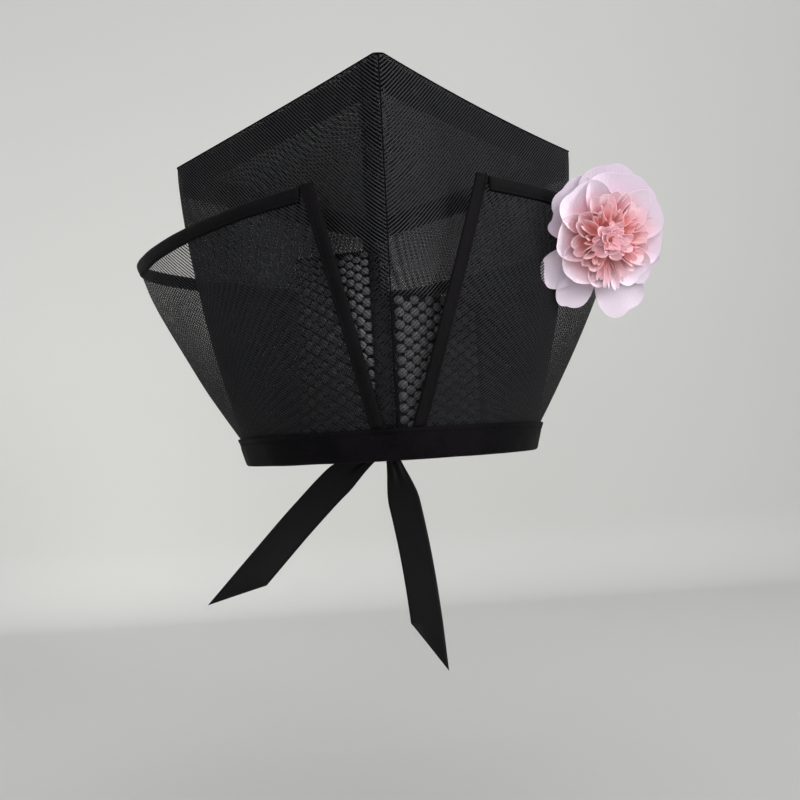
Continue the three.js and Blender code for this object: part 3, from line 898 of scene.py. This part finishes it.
def crown_welts(sizes, materials):
    """The crown's sewn edges: fine rounded welts down the front and back and round the top."""
    turns = spread(0, 2 * math.pi, 8)[:-1]
    section = [(WELT_RADIUS * math.cos(a), WELT_RADIUS * math.sin(a)) for a in turns]

    def top_place(turn, x, y):
        point = crown_edge(turn)
        return point + outward(point) * (x + TOP_WELT) + Vector((0, 0, y))

    stations = spread(0, 2 * math.pi, 240)[:-1]
    finish_piece(swept("crown_top_welt", stations, section, top_place, ring=True), materials["band"], "gauze")
    stations = spread(BAND_HEIGHT, CROWN_WALL_TOP, 60)
    for end in ("front", "back"):
        def ridge_place(z, x, y, end=end):
            return wall_point_by_x(CROWN, 0.01, z, CLOTH / 2, end) + Vector((x, y, 0))
        finish_piece(swept(f"ridge_welt_{end}", stations, section, ridge_place), materials["band"], "gauze")


def outer_gauze(sizes, materials):
    """The flared outer wall's two halves, uneven between the edges that hold them."""
    for word, wall in OUTER.items():
        side = wall["side"]
        grid = []
        for share in [*spread(0, 1, 52), *spread(1, 2, 52)[1:]]:
            column = []
            for rise in [-1, *spread(0, 1, 32)]:
                z = outer_height(wall, share, rise)
                point = wall_point(wall, side, outer_angle(wall, share, z), z, CLOTH / 2)
                held = max(0.0, min(1.0, rise * 4, (1 - rise) * 6))
                calm = min(1.0, share * 5, (2 - share) * 5)
                column.append(point + outward(point) * ripple(point, 40.0, 0.8, 9.0 + side) * held * calm)
            grid.append(column)
        uvs = cloth_coordinates(grid, 52)
        piece = sheet_from_grid(f"outer_gauze_{word}", grid, sizes.gauze_thickness / MM, uvs, flip=side > 0)
        finish_piece(piece, materials["outer"], "gauze", f"outer_wall_{word}")
        OUTER_FLAT[word]
        OUTER_AREA[word]


BAND_SECTION = (
    (0.0, 1.2), (0.0, 4.0), (0.05, 7.0), (0.12, 9.5), (0.3, 11.2), (0.42, 11.9), (0.22, 12.6),
    (0.05, 13.6), (0.12, 14.6), (0.55, 15.1), (1.0, 14.9), (1.25, 14.0), (1.4, 13.4), (2.6, 13.2),
    (3.8, 13.4), (3.95, 14.0), (4.2, 14.9), (4.65, 15.1), (5.1, 14.6), (5.18, 12.0), (5.2, 7.0),
    (5.2, 1.3), (4.9, 0.45), (4.2, 0.08), (2.6, 0.0), (1.0, 0.08), (0.3, 0.45),
)


def headband(sizes, materials):
    """The folded band, with shallow pulls along it and a slightly uneven fold."""
    def place(angle, depth, z):
        spot = Vector((math.sin(angle) * 80, -math.cos(angle) * 100, 0))
        outside = max(0.0, 1 - depth / 2.2) * min(1.0, z / 3, (BAND_HEIGHT - z) / 2.5)
        pull = ripple(spot + Vector((0, 0, z * 5)), 16.0, 0.5, 2.0) * max(0.0, outside)
        low = ripple(spot, 30.0, 0.5, 5.0) * max(0.0, 1 - z / 6)
        depth = depth - pull + max(0.0, outside) * 0.25
        return band_point(angle, z, depth) + Vector((0, 0, max(0.0, low)))

    stations = spread(0.0, 2 * math.pi, 240)[:-1]
    piece = swept("headband_cloth", stations, BAND_SECTION, place, ring=True)
    finish_piece(piece, materials["band"], "band_cloth", "headband")


RIM_SECTION = (
    (-0.62, -6.5), (-0.82, -6.1), (-0.72, -5.6), (-0.55, -5.1), (-0.78, -4.5), (-0.98, -3.2),
    (-1.02, -1.6), (-0.9, -0.3), (-0.5, 0.6), (0.1, 1.0), (0.9, 1.0), (1.5, 0.6), (1.9, -0.3),
    (2.02, -1.6), (1.98, -3.2), (1.78, -4.5), (1.55, -5.1), (1.72, -5.6), (1.82, -6.1), (1.62, -6.5),
)
V_SECTION = (
    (-0.85, -5.3), (-1.05, -4.95), (-0.95, -4.5), (-0.8, -4.1), (-1.0, -3.5), (-1.18, -2.4),
    (-1.18, -1.0), (-1.1, 0.2), (-0.7, 0.95), (0.0, 1.2), (0.7, 1.1), (0.95, 0.6), (0.98, -0.6),
    (0.98, -3.0), (0.95, -5.2),
)


def rim_place(wall):
    """Places a section along the outer wall's rim."""
    def place(share, depth, up):
        rim = outer_height(wall, share, 1)
        point = wall_point(wall, wall["side"], outer_angle(wall, share, rim), min(rim, rim + up), depth)
        point.z = rim + up + ripple((share * 160, 0, 0), 22.0, 0.35, 4.0)
        return point

    return place


def v_place(wall):
    """Places a section up the outer wall's edge of the V."""
    corner = v_corner(wall)

    def place(z, depth, inward):
        x = wall["side"] * (v_edge(wall, z) - inward)
        point = wall_point_by_x(wall, x, min(z, corner), depth)
        point.z = z
        return point

    return place


def edge_tapes(sizes, materials):
    """The bindings along the rim and the V. Those of the V narrow over the rim's corner."""
    for word, wall in OUTER.items():
        shares = [*spread(RIM_TAPE_START, 1, 90), *spread(1, 2, 80)[1:]]
        piece = swept(f"rim_binding_{word}", shares, RIM_SECTION, rim_place(wall))
        finish_piece(piece, materials["tape"], "band_cloth", f"rim_tape_{word}")
        corner, place = v_corner(wall), v_place(wall)
        heights = [*spread(BAND_HEIGHT + 0.2, corner, 60), *spread(corner, corner + V_TAB_RISE, 4)[1:]]

        def tabbed(z, depth, inward, corner=corner, place=place):
            over = max(0.0, (z - corner) / V_TAB_RISE)
            return place(z, depth * (1 - 0.35 * over), inward * (1 - 0.25 * over ** 2))

        piece = swept(f"v_binding_{word}", heights, V_SECTION, tabbed)
        finish_piece(piece, materials["tape"], "band_cloth", f"v_tape_{word}")


def all_stitches(sizes, materials):
    """Rows of stitches on the tapes, the band and the crown's seams."""
    rims, edges, seams = [], [], []
    for word, wall in OUTER.items():
        rim, edge, corner = rim_place(wall), v_place(wall), v_corner(wall)
        shares = [*spread(0.04, 1, 120), *spread(1, 2, 100)[1:]]
        rims += [[rim(s, depth, RIM_STITCHES_UP) for s in shares] for depth in (-0.66, 1.66)]
        edges.append([edge(z, -0.92, -4.1) for z in spread(BAND_HEIGHT + 0.5, corner + 1, 80)])
        across = zip(spread(-4.7, 0.5, 10), spread(corner - 5.6, corner - 5.0, 10))
        edges.append([edge(z, -1.1, inward) for inward, z in across])
        if word == "right":
            low, high = corner - CROSS_STITCH, corner
            for start, end in ((high, low), (low, high)):
                across = zip(spread(-4.3, -0.9, 6), spread(start, end, 6))
                edges.append([edge(z, -1.22, inward) for inward, z in across])
    heights = spread(BAND_HEIGHT + 1, CROWN_WALL_TOP - 1, 120)
    for x in (-RIDGE_SEAM_START - RIDGE_SEAM_WIDTH + 1.5, -1.8):
        for end in ("front", "back"):
            seams.append([wall_point_by_x(CROWN, x, z, 0.3, end) for z in heights])
    lines = {
        "rim_stitches": rims, "v_stitches": edges,
        "band_stitches": [[band_point(a, BAND_STITCHES_Z, 0.3) for a in spread(0, 2 * math.pi, 400)]],
        "crown_stitches": seams,
    }
    tree = stitch_tree()
    values = {
        "Pitch": sizes.stitch_pitch, "Stitch Length": sizes.stitch_pitch * 0.74,
        "Thread": sizes.thread, "Material": materials["thread"],
    }
    for name, paths in lines.items():
        piece = path_object(name, paths)
        run_nodes(piece, tree, values)
        finish_piece(piece, materials["thread"], "band_cloth")


def net_lining(sizes, materials):
    """A close black net inside the V, with rows of raised round cells."""
    across = spread(-NET_HALF_WIDTH, NET_HALF_WIDTH, 60)
    grid = [[wall_point_by_x(CROWN, x, z, NET_DEPTH) for z in spread(NET_FOOT, net_top(x), 40)]
            for x in across]
    piece = sheet_from_grid("net_backing", grid, 0.3, cloth_coordinates(grid, 30))
    finish_piece(piece, materials["net"], "net", "net_lining")
    pitch_x, pitch_z = sizes.cell_pitch / MM, sizes.cell_pitch * CELL_ROWS / MM
    start, run, most = CELL_CLOSE
    points, facings, levels, stretches = [], [], [], []
    row, z = 0, NET_BOTTOM
    while z < max(NET_TOP.values()) + 6:
        close = 1 - most * max(0.0, min(1.0, (z - start) / run))
        x = -NET_HALF_WIDTH + 1.5 + (pitch_x / 2 if row % 2 else 0)
        while x < NET_HALF_WIDTH - 1.5:
            if z < net_top(x) - 1.5 and abs(x) > 0.8:
                here = wall_point_by_x(CROWN, x, z, NET_DEPTH - CELL_SINK)
                beside = wall_point_by_x(CROWN, x + (0.5 if x > 0 else -0.5), z, NET_DEPTH - CELL_SINK)
                above = wall_point_by_x(CROWN, x, z + 0.5, NET_DEPTH - CELL_SINK)
                facing = (beside - here).cross(above - here).normalized()
                points.append(here)
                facings += list(facing if facing.y < 0 else -facing)
                levels += list((beside - here) * (1 if x > 0 else -1))
                stretches += [CELL_STRETCH[0], CELL_STRETCH[1] * close, 1.0]
            x += pitch_x
        z += pitch_z / 2 * close
        row += 1
    cells = new_object("net_cells", points)
    for name, values in (("facing", facings), ("level", levels), ("cell", stretches)):
        keep_values(cells, name, values, "FLOAT_VECTOR")
    radius = sizes.cell_pitch * CELL_RADIUS
    run_nodes(cells, net_tree(), {
        "Cell Radius": radius, "Cell Height": CELL_HEIGHT, "Material": materials["cell"],
    })
    finish_piece(cells, materials["cell"], "net")


# Ties

def tie_curve(route, middle):
    """Evenly spaced points on a smooth curve through a route's points."""
    def between(a, b, low, high, t):
        return a * ((high - t) / (high - low)) + b * ((t - low) / (high - low))

    knots = [Vector(p) + middle for p in route]
    ends = [knots[0] * 2 - knots[1], *knots, knots[-1] * 2 - knots[-2]]
    points = []
    for k in range(1, len(ends) - 2):
        p0, p1, p2, p3 = ends[k - 1:k + 3]
        t1 = (p1 - p0).length ** 0.5
        t2 = t1 + (p2 - p1).length ** 0.5
        t3 = t2 + (p3 - p2).length ** 0.5
        for t in spread(t1, t2, 60)[:-1]:
            middle_part = between(p1, p2, t1, t2, t)
            before = between(between(p0, p1, 0, t1, t), middle_part, 0, t2, t)
            after = between(middle_part, between(p2, p3, t2, t3, t), t1, t3, t)
            points.append(between(before, after, t1, t2, t))
    points.append(knots[-1])
    lengths = [0.0]
    for a, b in zip(points, points[1:]):
        lengths.append(lengths[-1] + (b - a).length)
    return points, lengths


def at_length(curve, length):
    """The point and direction at a length along a curve."""
    points, lengths = curve
    low = 0
    while low < len(lengths) - 2 and lengths[low + 1] < length:
        low += 1
    span = lengths[low + 1] - lengths[low]
    share = (length - lengths[low]) / span if span else 0.0
    return points[low].lerp(points[low + 1], share), (points[low + 1] - points[low]).normalized()


def ties(sizes, materials):
    """The two ribbons, gathered at the knot and cut on the slant, and the knot."""
    knot_y = band_half(HEAD_HALF[1], KNOT_Z, 0) + KNOT_STANDOFF + KNOT_HALF.y
    middle = Vector((0, knot_y, 0))
    for word, short_side in (("left", 1), ("right", -1)):
        curve = tie_curve(TIE_ROUTES[word], middle)
        total = curve[1][-1]
        grid, uvs = [], []
        for share in spread(0, 1, 90):
            row = []
            for across in spread(-0.5, 0.5, 12):
                spreading = min(1.0, share * total / TIE_GATHER_RUN)
                gather = TIE_GATHERED + (1 - TIE_GATHERED) * spreading ** 2 * (3 - 2 * spreading)
                in_cut = max(0.0, 1 - (1 - share) * total / TIE_CUT)
                back = in_cut * TIE_CUT * (0.5 + short_side * across)
                point, tangent = at_length(curve, share * total - back)
                sideways = Vector((-tangent.z, 0, tangent.x)).normalized()
                pleat = math.cos(across * 5 * math.pi) * 1.3 * (1 - gather) / (1 - TIE_GATHERED)
                roll = 1.6 * (0.25 - across ** 2) * min(1.0, share * 3)
                wave = ripple((share * 60, across * 12, 0), 20.0, 0.7, 8.0)
                deep = Vector((0, 0.5 + pleat + roll + wave, 0))
                row.append(point + sideways * across * TIE_WIDTH * gather + deep)
                uvs.append((share * total, across * TIE_WIDTH))
            grid.append(row)
        piece = sheet_from_grid(f"ribbon_{word}", grid, 0.4, uvs)
        finish_piece(piece, materials["ribbon"], "ribbon", f"tie_{word}")
        total * MM
    knot_shape(Vector((0, knot_y, KNOT_Z)), materials)


def knot_shape(middle, materials):
    """A pulled knot: a rounded lump with the wraps of the ribbon round it."""
    rings = []
    for tall in spread(0, math.pi, 24)[1:-1]:
        ring = []
        for turn in spread(0, 2 * math.pi, 48)[:-1]:
            wide = math.sin(tall)
            spot = Vector((wide * math.cos(turn), wide * math.sin(turn), math.cos(tall)))
            wraps = math.sin(spot.x * 9 + spot.z * 5 + 1.5 * math.sin(turn)) * 0.07
            ring.append(middle + spot * KNOT_HALF * (0.93 + wraps * wide))
        rings.append(ring)
    pole = Vector((0, 0, KNOT_HALF.z * 0.92))
    poles = (middle + pole, middle - pole)
    piece = closed_round("ribbon_knot", rings, poles, lambda p: (p.z - middle.z, p.x - middle.x))
    finish_piece(piece, materials["ribbon"], "ribbon", "tie_knot")


# Flower

FLOWER_SEAT = wall_point_by_x(OUTER["right"], FLOWER_X, FLOWER_Z, 0) + FLOWER_FACING * FLOWER_STANDOFF
FLOWER_RIGHT = Vector((0, 0, 1)).cross(FLOWER_FACING).normalized()
FLOWER_UP = FLOWER_FACING.cross(FLOWER_RIGHT)


def flower_point(turn, radius, forward):
    """A point by its turn, its distance from the flower's middle line and its depth."""
    return (FLOWER_SEAT + FLOWER_RIGHT * (radius * math.cos(turn))
            + FLOWER_UP * (radius * math.sin(turn)) + FLOWER_FACING * forward)


def petal_grid(turn, half_spread, reach, base, edge, cup, ruffle, notch, seed, root=2.6, own=False):
    """One petal as a grid: columns across it, rows from the root to the edge. Its tint is
    the distance from the flower's middle, or the petal's own length where it has its own."""
    grid, tints, uvs = [], [], []
    for across in spread(-1, 1, 18):
        column = []
        lobe = 1 - 0.38 * abs(across) ** 3.2 - notch * math.exp(-((across - 0.1) / 0.13) ** 2)
        lobe += 0.018 * math.sin(6 * across + seed)
        for share in spread(0, 1, 14):
            radius = root + (reach * lobe - root) * share
            width = math.radians(half_spread) * (0.6 + 0.4 * math.sin(math.pi * min(0.6, share * 0.7)))
            waves = ruffle * share ** 3 * math.sin(4.4 * across + 2.3 * seed)
            waves += ripple((across * 7, share * 7, seed * 5), 4.0, ruffle * 0.9, seed) * share ** 2
            lift = base + (edge - base) * share ** 1.6 + cup * (across ** 2 - 0.3) * share ** 1.5 + waves
            column.append(flower_point(turn + across * width, radius, lift))
            tints.append(share if own else radius / TINT_RADIUS)
            uvs.append((across * reach * 0.5, share * reach))
        grid.append(column)
    return grid, tints, uvs


def petals(name, specs, thickness, material, slot, node):
    """Several petals as one piece, with their thin edges crisp."""
    points, faces, tints, uvs = [], [], [], []
    for spec in specs:
        grid, tint, uv = petal_grid(*spec)
        add_grid(points, faces, grid)
        tints += tint
        uvs += uv
    piece = new_object(name, points, faces, uvs)
    keep_values(piece, "tint", tints)
    thicken(piece, thickness)
    make_plain(piece)
    piece.data.set_sharp_from_angle(angle=math.radians(SHARP_DEGREES))
    finish_piece(piece, material, slot, node)


def ring_specs(ring, base, edge, cup, ruffle, notch, seed):
    """Petals of one ring, each a little forward of or behind its neighbours."""
    return [
        (math.radians(turn), half_spread, reach, base + 0.5 * (k % 2),
         edge + 0.9 * math.sin(2.4 * k + seed), cup, ruffle, notch, seed + 1.3 * k)
        for k, (turn, half_spread, reach) in enumerate(ring)
    ]


def flower(sizes, materials):
    """The flower's rings of petals from the back to the front, and its crumpled heart."""
    inner = ring_specs(INNER_PETALS, 8.5, 18.5, 1.6, 2.0, 0.12, 9.1)
    inner += ring_specs(HANGING_PETALS, 9.0, 15.0, 0.8, 0.8, 0.1, 4.4)
    rings = (
        ("back", ring_specs(BACK_PETALS, 0.4, 4.5, 0.8, 0.7, 0.02, 1.0), "petal_back", "petal_outer"),
        ("cup", ring_specs(CUP_PETALS, 2.6, 13.0, 2.0, 0.8, 0.02, 3.7), "petal", "petal_outer"),
        ("middle", ring_specs(MIDDLE_PETALS, 5.0, 15.5, 1.8, 1.5, 0.07, 6.4), "petal", "petal_inner"),
        ("inner", inner, "petal", "petal_inner"),
    )
    thickness = sizes.petal_thickness / MM
    for layer, (word, specs, cloth, slot) in enumerate(rings, 1):
        petals(f"flower_{word}_petals", specs, thickness, materials[cloth], slot, f"petal_layer_{layer}")
    chance = random.Random(HEART_SEED)
    specs = []
    for k in range(HEART_PETALS):
        share = k / (HEART_PETALS - 1)
        turn = k * math.pi * (3 - math.sqrt(5))
        reach = 4.6 + 6.4 * share + chance.uniform(-0.8, 0.8)
        height = 22.0 - 2.4 * share + chance.uniform(-1.4, 1.4)
        specs.append((turn, 64 - 28 * share, reach, 16.5 - 1.6 * share, height, 1.8, 2.2, 0.16,
                      chance.uniform(0, 6), 1.0 + 2.4 * share, True))
    petals("flower_heart", specs, thickness, materials["petal_heart"], "petal_inner", "flower_centre")


CALYX_SECTION = (
    (0.0, 8.2), (1.2, 8.2), (2.0, 7.4), (2.1, 3.0), (2.2, 0.2), (4.0, -0.7), (6.6, -0.75), (8.2, -0.9),
    (8.8, -1.5), (8.3, -2.6), (7.2, -4.2), (6.0, -6.2), (5.0, -8.2), (4.2, -10.6), (3.3, -13.0),
    (2.4, -15.2), (0.0, -15.6),
)
SEPALS = 5
SEPAL_THICKNESS = 0.5


def flower_back(sizes, materials):
    """The calyx with its ribbed cup and post, and its sepals under the petals."""
    rings = []
    for radius, forward in CALYX_SECTION[1:-1]:
        rib = 0.05 if forward < -1 else 0.0
        rings.append([flower_point(turn, radius * (1 + rib * math.cos(2 * SEPALS * turn)), forward)
                      for turn in spread(0, 2 * math.pi, 60)[:-1]])
    poles = [flower_point(0, 0, CALYX_SECTION[k][1]) for k in (0, -1)]
    piece = closed_round("calyx_cup", rings, poles)
    finish_piece(piece, materials["calyx"], "calyx", "flower_calyx")
    points, faces = [], []
    for sepal in range(SEPALS):
        middle = 2 * math.pi * (sepal + 0.4) / SEPALS
        grid = []
        for across in spread(-1, 1, 8):
            column = []
            for share in spread(0, 1, 12):
                half = 0.42 * math.sin(math.pi * (0.15 + 0.85 * share)) ** 0.8 * (1 - 0.35 * share)
                lift = -1.4 + 2.6 * share ** 2 - 0.9 * (1 - across ** 2) * share
                column.append(flower_point(middle + across * half, 5.5 + 10.5 * share, lift - 0.6))
            grid.append(column)
        add_grid(points, faces, grid)
    piece = new_object("calyx_sepals", points, faces)
    thicken(piece, SEPAL_THICKNESS)
    finish_piece(piece, materials["calyx"], "calyx")


CLIP_HALF = 4.0
CLIP_SECTION = (
    (0, -20), (0, -12), (0.1, -4), (0.05, 1.6), (0.35, 2.5), (1.1, 3.1), (2.2, 3.2), (4.4, 3.2), (5.4, 3.1),
    (6.1, 2.5), (6.35, 1.6), (6.3, -4), (6.4, -12), (6.4, -20), (5.6, -20.0), (5.2, -19.4), (5.0, -12),
    (4.95, -4), (4.95, 1.0), (4.7, 1.6), (4.1, 1.75), (2.3, 1.75), (1.7, 1.6), (1.45, 1.0), (1.45, -4),
    (1.4, -12), (1.2, -19.4), (0.8, -20),
)


def rim_clip(sizes, materials):
    """Spring clip bent over the taped rim, rounded at its bends and corners."""
    wall = OUTER["right"]
    rim = wall["top"](angle_at(wall, FLOWER_X, 125.0, 0))
    angle = angle_at(wall, FLOWER_X, rim, 0)
    beside = wall_point(wall, 1, angle + 0.013, rim, 0)
    along = beside - wall_point(wall, 1, angle, rim, 0)
    along.z = 0
    along.normalize()

    def place(shift, depth, up):
        point = wall_point(wall, 1, angle, min(rim, rim + up), depth - CLIP_STANDOFF)
        point += along * shift
        point.z = rim + up
        return point

    stations = [-CLIP_HALF, -CLIP_HALF + 0.35, *spread(-3, 3, 6), CLIP_HALF - 0.35, CLIP_HALF]
    piece = swept("rim_clip", stations, CLIP_SECTION, place)
    finish_piece(piece, materials["clip"], "clip", "flower_clip")
    bevel = piece.modifiers.new("edges", "BEVEL")
    bevel.width = 0.2 * MM
    bevel.segments = 2
    bevel.limit_method = "ANGLE"


# Stage

def build_stage(colours):
    """Pale floor that turns up into a pale wall, and soft lights."""
    profile = [(-STAGE_HALF, FLOOR_Z), (WALL_Y - COVE_RADIUS, FLOOR_Z)]
    for turn in spread(0, math.pi / 2, 16)[1:-1]:
        profile.append((WALL_Y - COVE_RADIUS + COVE_RADIUS * math.sin(turn),
                        FLOOR_Z + COVE_RADIUS * (1 - math.cos(turn))))
    profile += [(WALL_Y, FLOOR_Z + COVE_RADIUS), (WALL_Y, FLOOR_Z + 2.2 * STAGE_HALF)]
    points = [(x, y, z) for x in (-1.4 * STAGE_HALF, 1.4 * STAGE_HALF) for y, z in profile]
    floor = new_object("stage_floor", points, grid_faces(2, len(profile)))
    floor.data.materials.append(stage_paint("stage_paint", tuple(colours.stage)))
    lights = (
        ("light_key", (1500, -1200, 500), (0, 0, 60), 1.2, 3.0, 40),
        ("light_front", (-300, -2400, 250), (0, 0, 60), 2.4, 35.0, 180),
        ("light_top", (0, 200, 1700), (0, 100, 0), 1.8, 1.5, 180),
        ("light_wall", (700, -100, 1500), (900, 640, 300), 1.6, 3.6, 180),
    )
    for name, at, to, size, power, beam in lights:
        data = bpy.data.lights.new(name, "AREA")
        data.size = size
        data.energy = power
        data.spread = math.radians(beam)
        data.color = (1.0, 0.985, 0.965)
        lamp = linked(name, data)
        lamp.location = Vector(at) * MM
        lamp.rotation_euler = (Vector(to) - Vector(at)).to_track_quat("-Z", "Y").to_euler()
    world = bpy.data.worlds.new("studio")
    world.use_nodes = True
    sky = world.node_tree.nodes["Background"]
    sky.inputs[0].default_value = (0.93, 0.95, 1.0, 1.0)
    sky.inputs[1].default_value = 0.48
    bpy.context.scene.world = world
    bpy.context.scene.view_settings.view_transform = "Standard"


def build_camera():
    data = bpy.data.cameras.new("camera")
    data.lens = CAMERA_LENS
    data.sensor_width = CAMERA_SENSOR
    data.clip_start = 0.01
    data.clip_end = 20.0
    camera = linked("camera", data)
    forward = CAMERA_FORWARD.normalized()
    right = forward.cross(CAMERA_UP).normalized()
    up = right.cross(forward)
    turned = Matrix((right, up, -forward)).transposed().to_4x4()
    camera.matrix_world = Matrix.Translation(CAMERA_AT * MM) @ turned
    bpy.context.scene.camera = camera


# Add-on

def length(name, description, default):
    return bpy.props.FloatProperty(
        name=name, description=description, default=default, min=0.0, unit="LENGTH",
        subtype="DISTANCE", precision=5,
    )


def colour(name, description, default):
    return bpy.props.FloatVectorProperty(
        name=name, description=description, default=default, min=0.0, max=1.0, size=3,
        subtype="COLOR",
    )


class HatSizes(bpy.types.PropertyGroup):
    """Sizes of the hat's cloth and sewing."""

    gauze_thickness: length("Gauze thickness", "Thickness of the crown's and outer wall's gauze", 0.00012)
    weave_pitch: length("Weave pitch", "Distance between the gauze's diagonal threads", 0.0015)
    stitch_pitch: length("Stitch pitch", "Distance from one stitch to the next", 0.0026)
    thread: length("Thread", "Thickness of the sewing thread", 0.0004)
    cell_pitch: length("Net cell pitch", "Distance between the honeycomb's cells in a row", 0.0071)
    petal_thickness: length("Petal thickness", "Thickness of the petal cloth", 0.00016)


class HatColours(bpy.types.PropertyGroup):
    """Colours of the hat and of the stage."""

    gauze: colour("Gauze", "Threads of the gauze", (0.041, 0.041, 0.045))
    band: colour("Band", "Cloth of the band and tapes", (0.0033, 0.0027, 0.0035))
    ribbon: colour("Ribbon", "Satin of the ties", (0.002, 0.002, 0.0024))
    net: colour("Net", "Backing of the honeycomb", (0.004, 0.004, 0.005))
    cell: colour("Net cells", "Raised cells of the honeycomb", (0.1, 0.1, 0.106))
    petal_edge: colour("Petal edge", "Edges of the outer petals", (0.87, 0.77, 0.89))
    petal_pink: colour("Petal pink", "Middle of the petals", (1.0, 0.70, 0.76))
    petal_coral: colour("Petal coral", "Roots of the petals", (1.0, 0.47, 0.46))
    petal_tip: colour("Petal tip", "Tips of the inner petals", (1.0, 0.66, 0.72))
    calyx: colour("Calyx", "Moulded green behind the flower", (0.17, 0.27, 0.11))
    clip: colour("Clip", "Enamel of the rim clip", (0.03, 0.03, 0.032))
    stage: colour("Stage", "Floor and wall", (0.66, 0.66, 0.64))


class Materials(dict):
    """Materials by short names, each made when it is first asked for and then shared."""

    recipes = {}

    def __missing__(self, key):
        make, *values = self.recipes[key]
        self[key] = make(*values)
        return self[key]


MATERIALS = Materials()


def hat_materials(context):
    """The shared materials, in the user's colours."""
    colours = {key: tuple(getattr(context.scene.hat_colours, key)) for key in HatColours.__annotations__}
    band, rib, edge = colours["band"], colours["gauze"], colours["petal_edge"]
    coral, pink, tip = colours["petal_coral"], colours["petal_pink"], colours["petal_tip"]
    pitch = context.scene.hat_sizes.weave_pitch / MM
    MATERIALS.recipes = {
        "gauze": (gauze, "black_gauze", scaled(rib, 1.35), pitch, (0.44, 0.58), 44.0, (0.37, 0.4)),
        "outer": (gauze, "black_outer_gauze", rib, pitch * 1.05, (0.62, 0.8), 43.0, (0.0, 0.0), 0.14),
        "doubled": (gauze, "black_doubled_gauze", rib, pitch, (0.36, 0.52), 44.0),
        "band": (band_cloth, "black_band_cloth", band),
        "tape": (band_cloth, "black_tape_cloth", scaled(band, 0.8), 12.0, 0.08),
        "thread": (band_cloth, "black_thread", scaled(band, 1.8)),
        "ribbon": (ribbon_satin, "black_ribbon", colours["ribbon"]),
        "net": (net_cloth, "black_net_backing", colours["net"]),
        "cell": (net_cell, "grey_net_cells", colours["cell"]),
        "petal": (petal_cloth, "petal_cloth", coral, pink, edge),
        # The back petals' outer colour is painted darker than the other petals': painted shade for the petals
        # lying in shadow behind the cup.
        "petal_back": (petal_cloth, "back_petal_cloth", coral, pink, scaled(edge, 0.82)),
        "petal_heart": (petal_cloth, "heart_cloth", coral, tip, tip, 0.12, 0.5),
        "calyx": (moulded_green, "moulded_calyx", colours["calyx"]),
        "clip": (enamelled, "enamelled_clip", colours["clip"]),
    }
    return MATERIALS


class StageOperator(bpy.types.Operator):
    """Adds the floor, the wall, the lights and the camera"""

    bl_idname = "hat.stage"
    bl_label = "Stage, lights and camera"

    def execute(self, context):
        build_camera()
        build_stage(context.scene.hat_colours)
        return {"FINISHED"}


class PieceOperator:
    """Runs the makers of one group of pieces."""

    makers = ()

    def execute(self, context):
        materials = hat_materials(context)
        for maker in self.makers:
            maker(context.scene.hat_sizes, materials)
        return {"FINISHED"}


class TiesOperator(PieceOperator, bpy.types.Operator):
    """Builds the knot and the two ribbons behind the hat"""

    bl_idname = "hat.ties"
    bl_label = "Ties"
    makers = (ties,)


class BandOperator(PieceOperator, bpy.types.Operator):
    """Builds the folded headband"""

    bl_idname = "hat.band"
    bl_label = "Headband"
    makers = (headband,)


class CrownOperator(PieceOperator, bpy.types.Operator):
    """Builds the crown's gauze walls, its top and its hems"""

    bl_idname = "hat.crown"
    bl_label = "Crown"
    makers = (crown_gauze, crown_top_gauze, crown_facings, crown_welts)


class OuterWallOperator(PieceOperator, bpy.types.Operator):
    """Builds the outer wall's gauze and the seams on it"""

    bl_idname = "hat.outer_wall"
    bl_label = "Outer wall"
    makers = (outer_gauze, seam_hems, edge_tapes)


class NetOperator(PieceOperator, bpy.types.Operator):
    """Builds the honeycomb net behind the V"""

    bl_idname = "hat.net"
    bl_label = "Net lining"
    makers = (net_lining,)


class StitchesOperator(PieceOperator, bpy.types.Operator):
    """Sews the rows of stitches"""

    bl_idname = "hat.stitches"
    bl_label = "Stitches"
    makers = (all_stitches,)


class FlowerOperator(PieceOperator, bpy.types.Operator):
    """Builds the cloth flower, its calyx and its clip"""

    bl_idname = "hat.flower"
    bl_label = "Flower"
    makers = (flower, flower_back, rim_clip)


OPERATORS = (
    StageOperator, TiesOperator, BandOperator, CrownOperator, OuterWallOperator,
    NetOperator, StitchesOperator, FlowerOperator,
)


class HatPanel(bpy.types.Panel):
    """Sizes, colours and the operators that build the hat"""

    bl_idname = "VIEW3D_PT_scholar_hat"
    bl_label = "Scholar Hat"
    bl_space_type = "VIEW_3D"
    bl_region_type = "UI"
    bl_category = "Hat"

    def draw(self, context):
        layout = self.layout
        for operator in OPERATORS:
            layout.operator(operator.bl_idname)
        for group in (context.scene.hat_sizes, context.scene.hat_colours):
            box = layout.box()
            for key in type(group).__annotations__:
                box.prop(group, key)


CLASSES = (HatSizes, HatColours, *OPERATORS, HatPanel)


def register():
    for cls in CLASSES:
        bpy.utils.register_class(cls)
    bpy.types.Scene.hat_sizes = bpy.props.PointerProperty(type=HatSizes)
    bpy.types.Scene.hat_colours = bpy.props.PointerProperty(type=HatColours)


def unregister():
    del bpy.types.Scene.hat_colours
    del bpy.types.Scene.hat_sizes
    for cls in reversed(CLASSES):
        bpy.utils.unregister_class(cls)


def main():
    register()
    for operator in OPERATORS:
        group, name = operator.bl_idname.split(".")
        getattr(getattr(bpy.ops, group), name)()


if __name__ == "__main__":
    main()
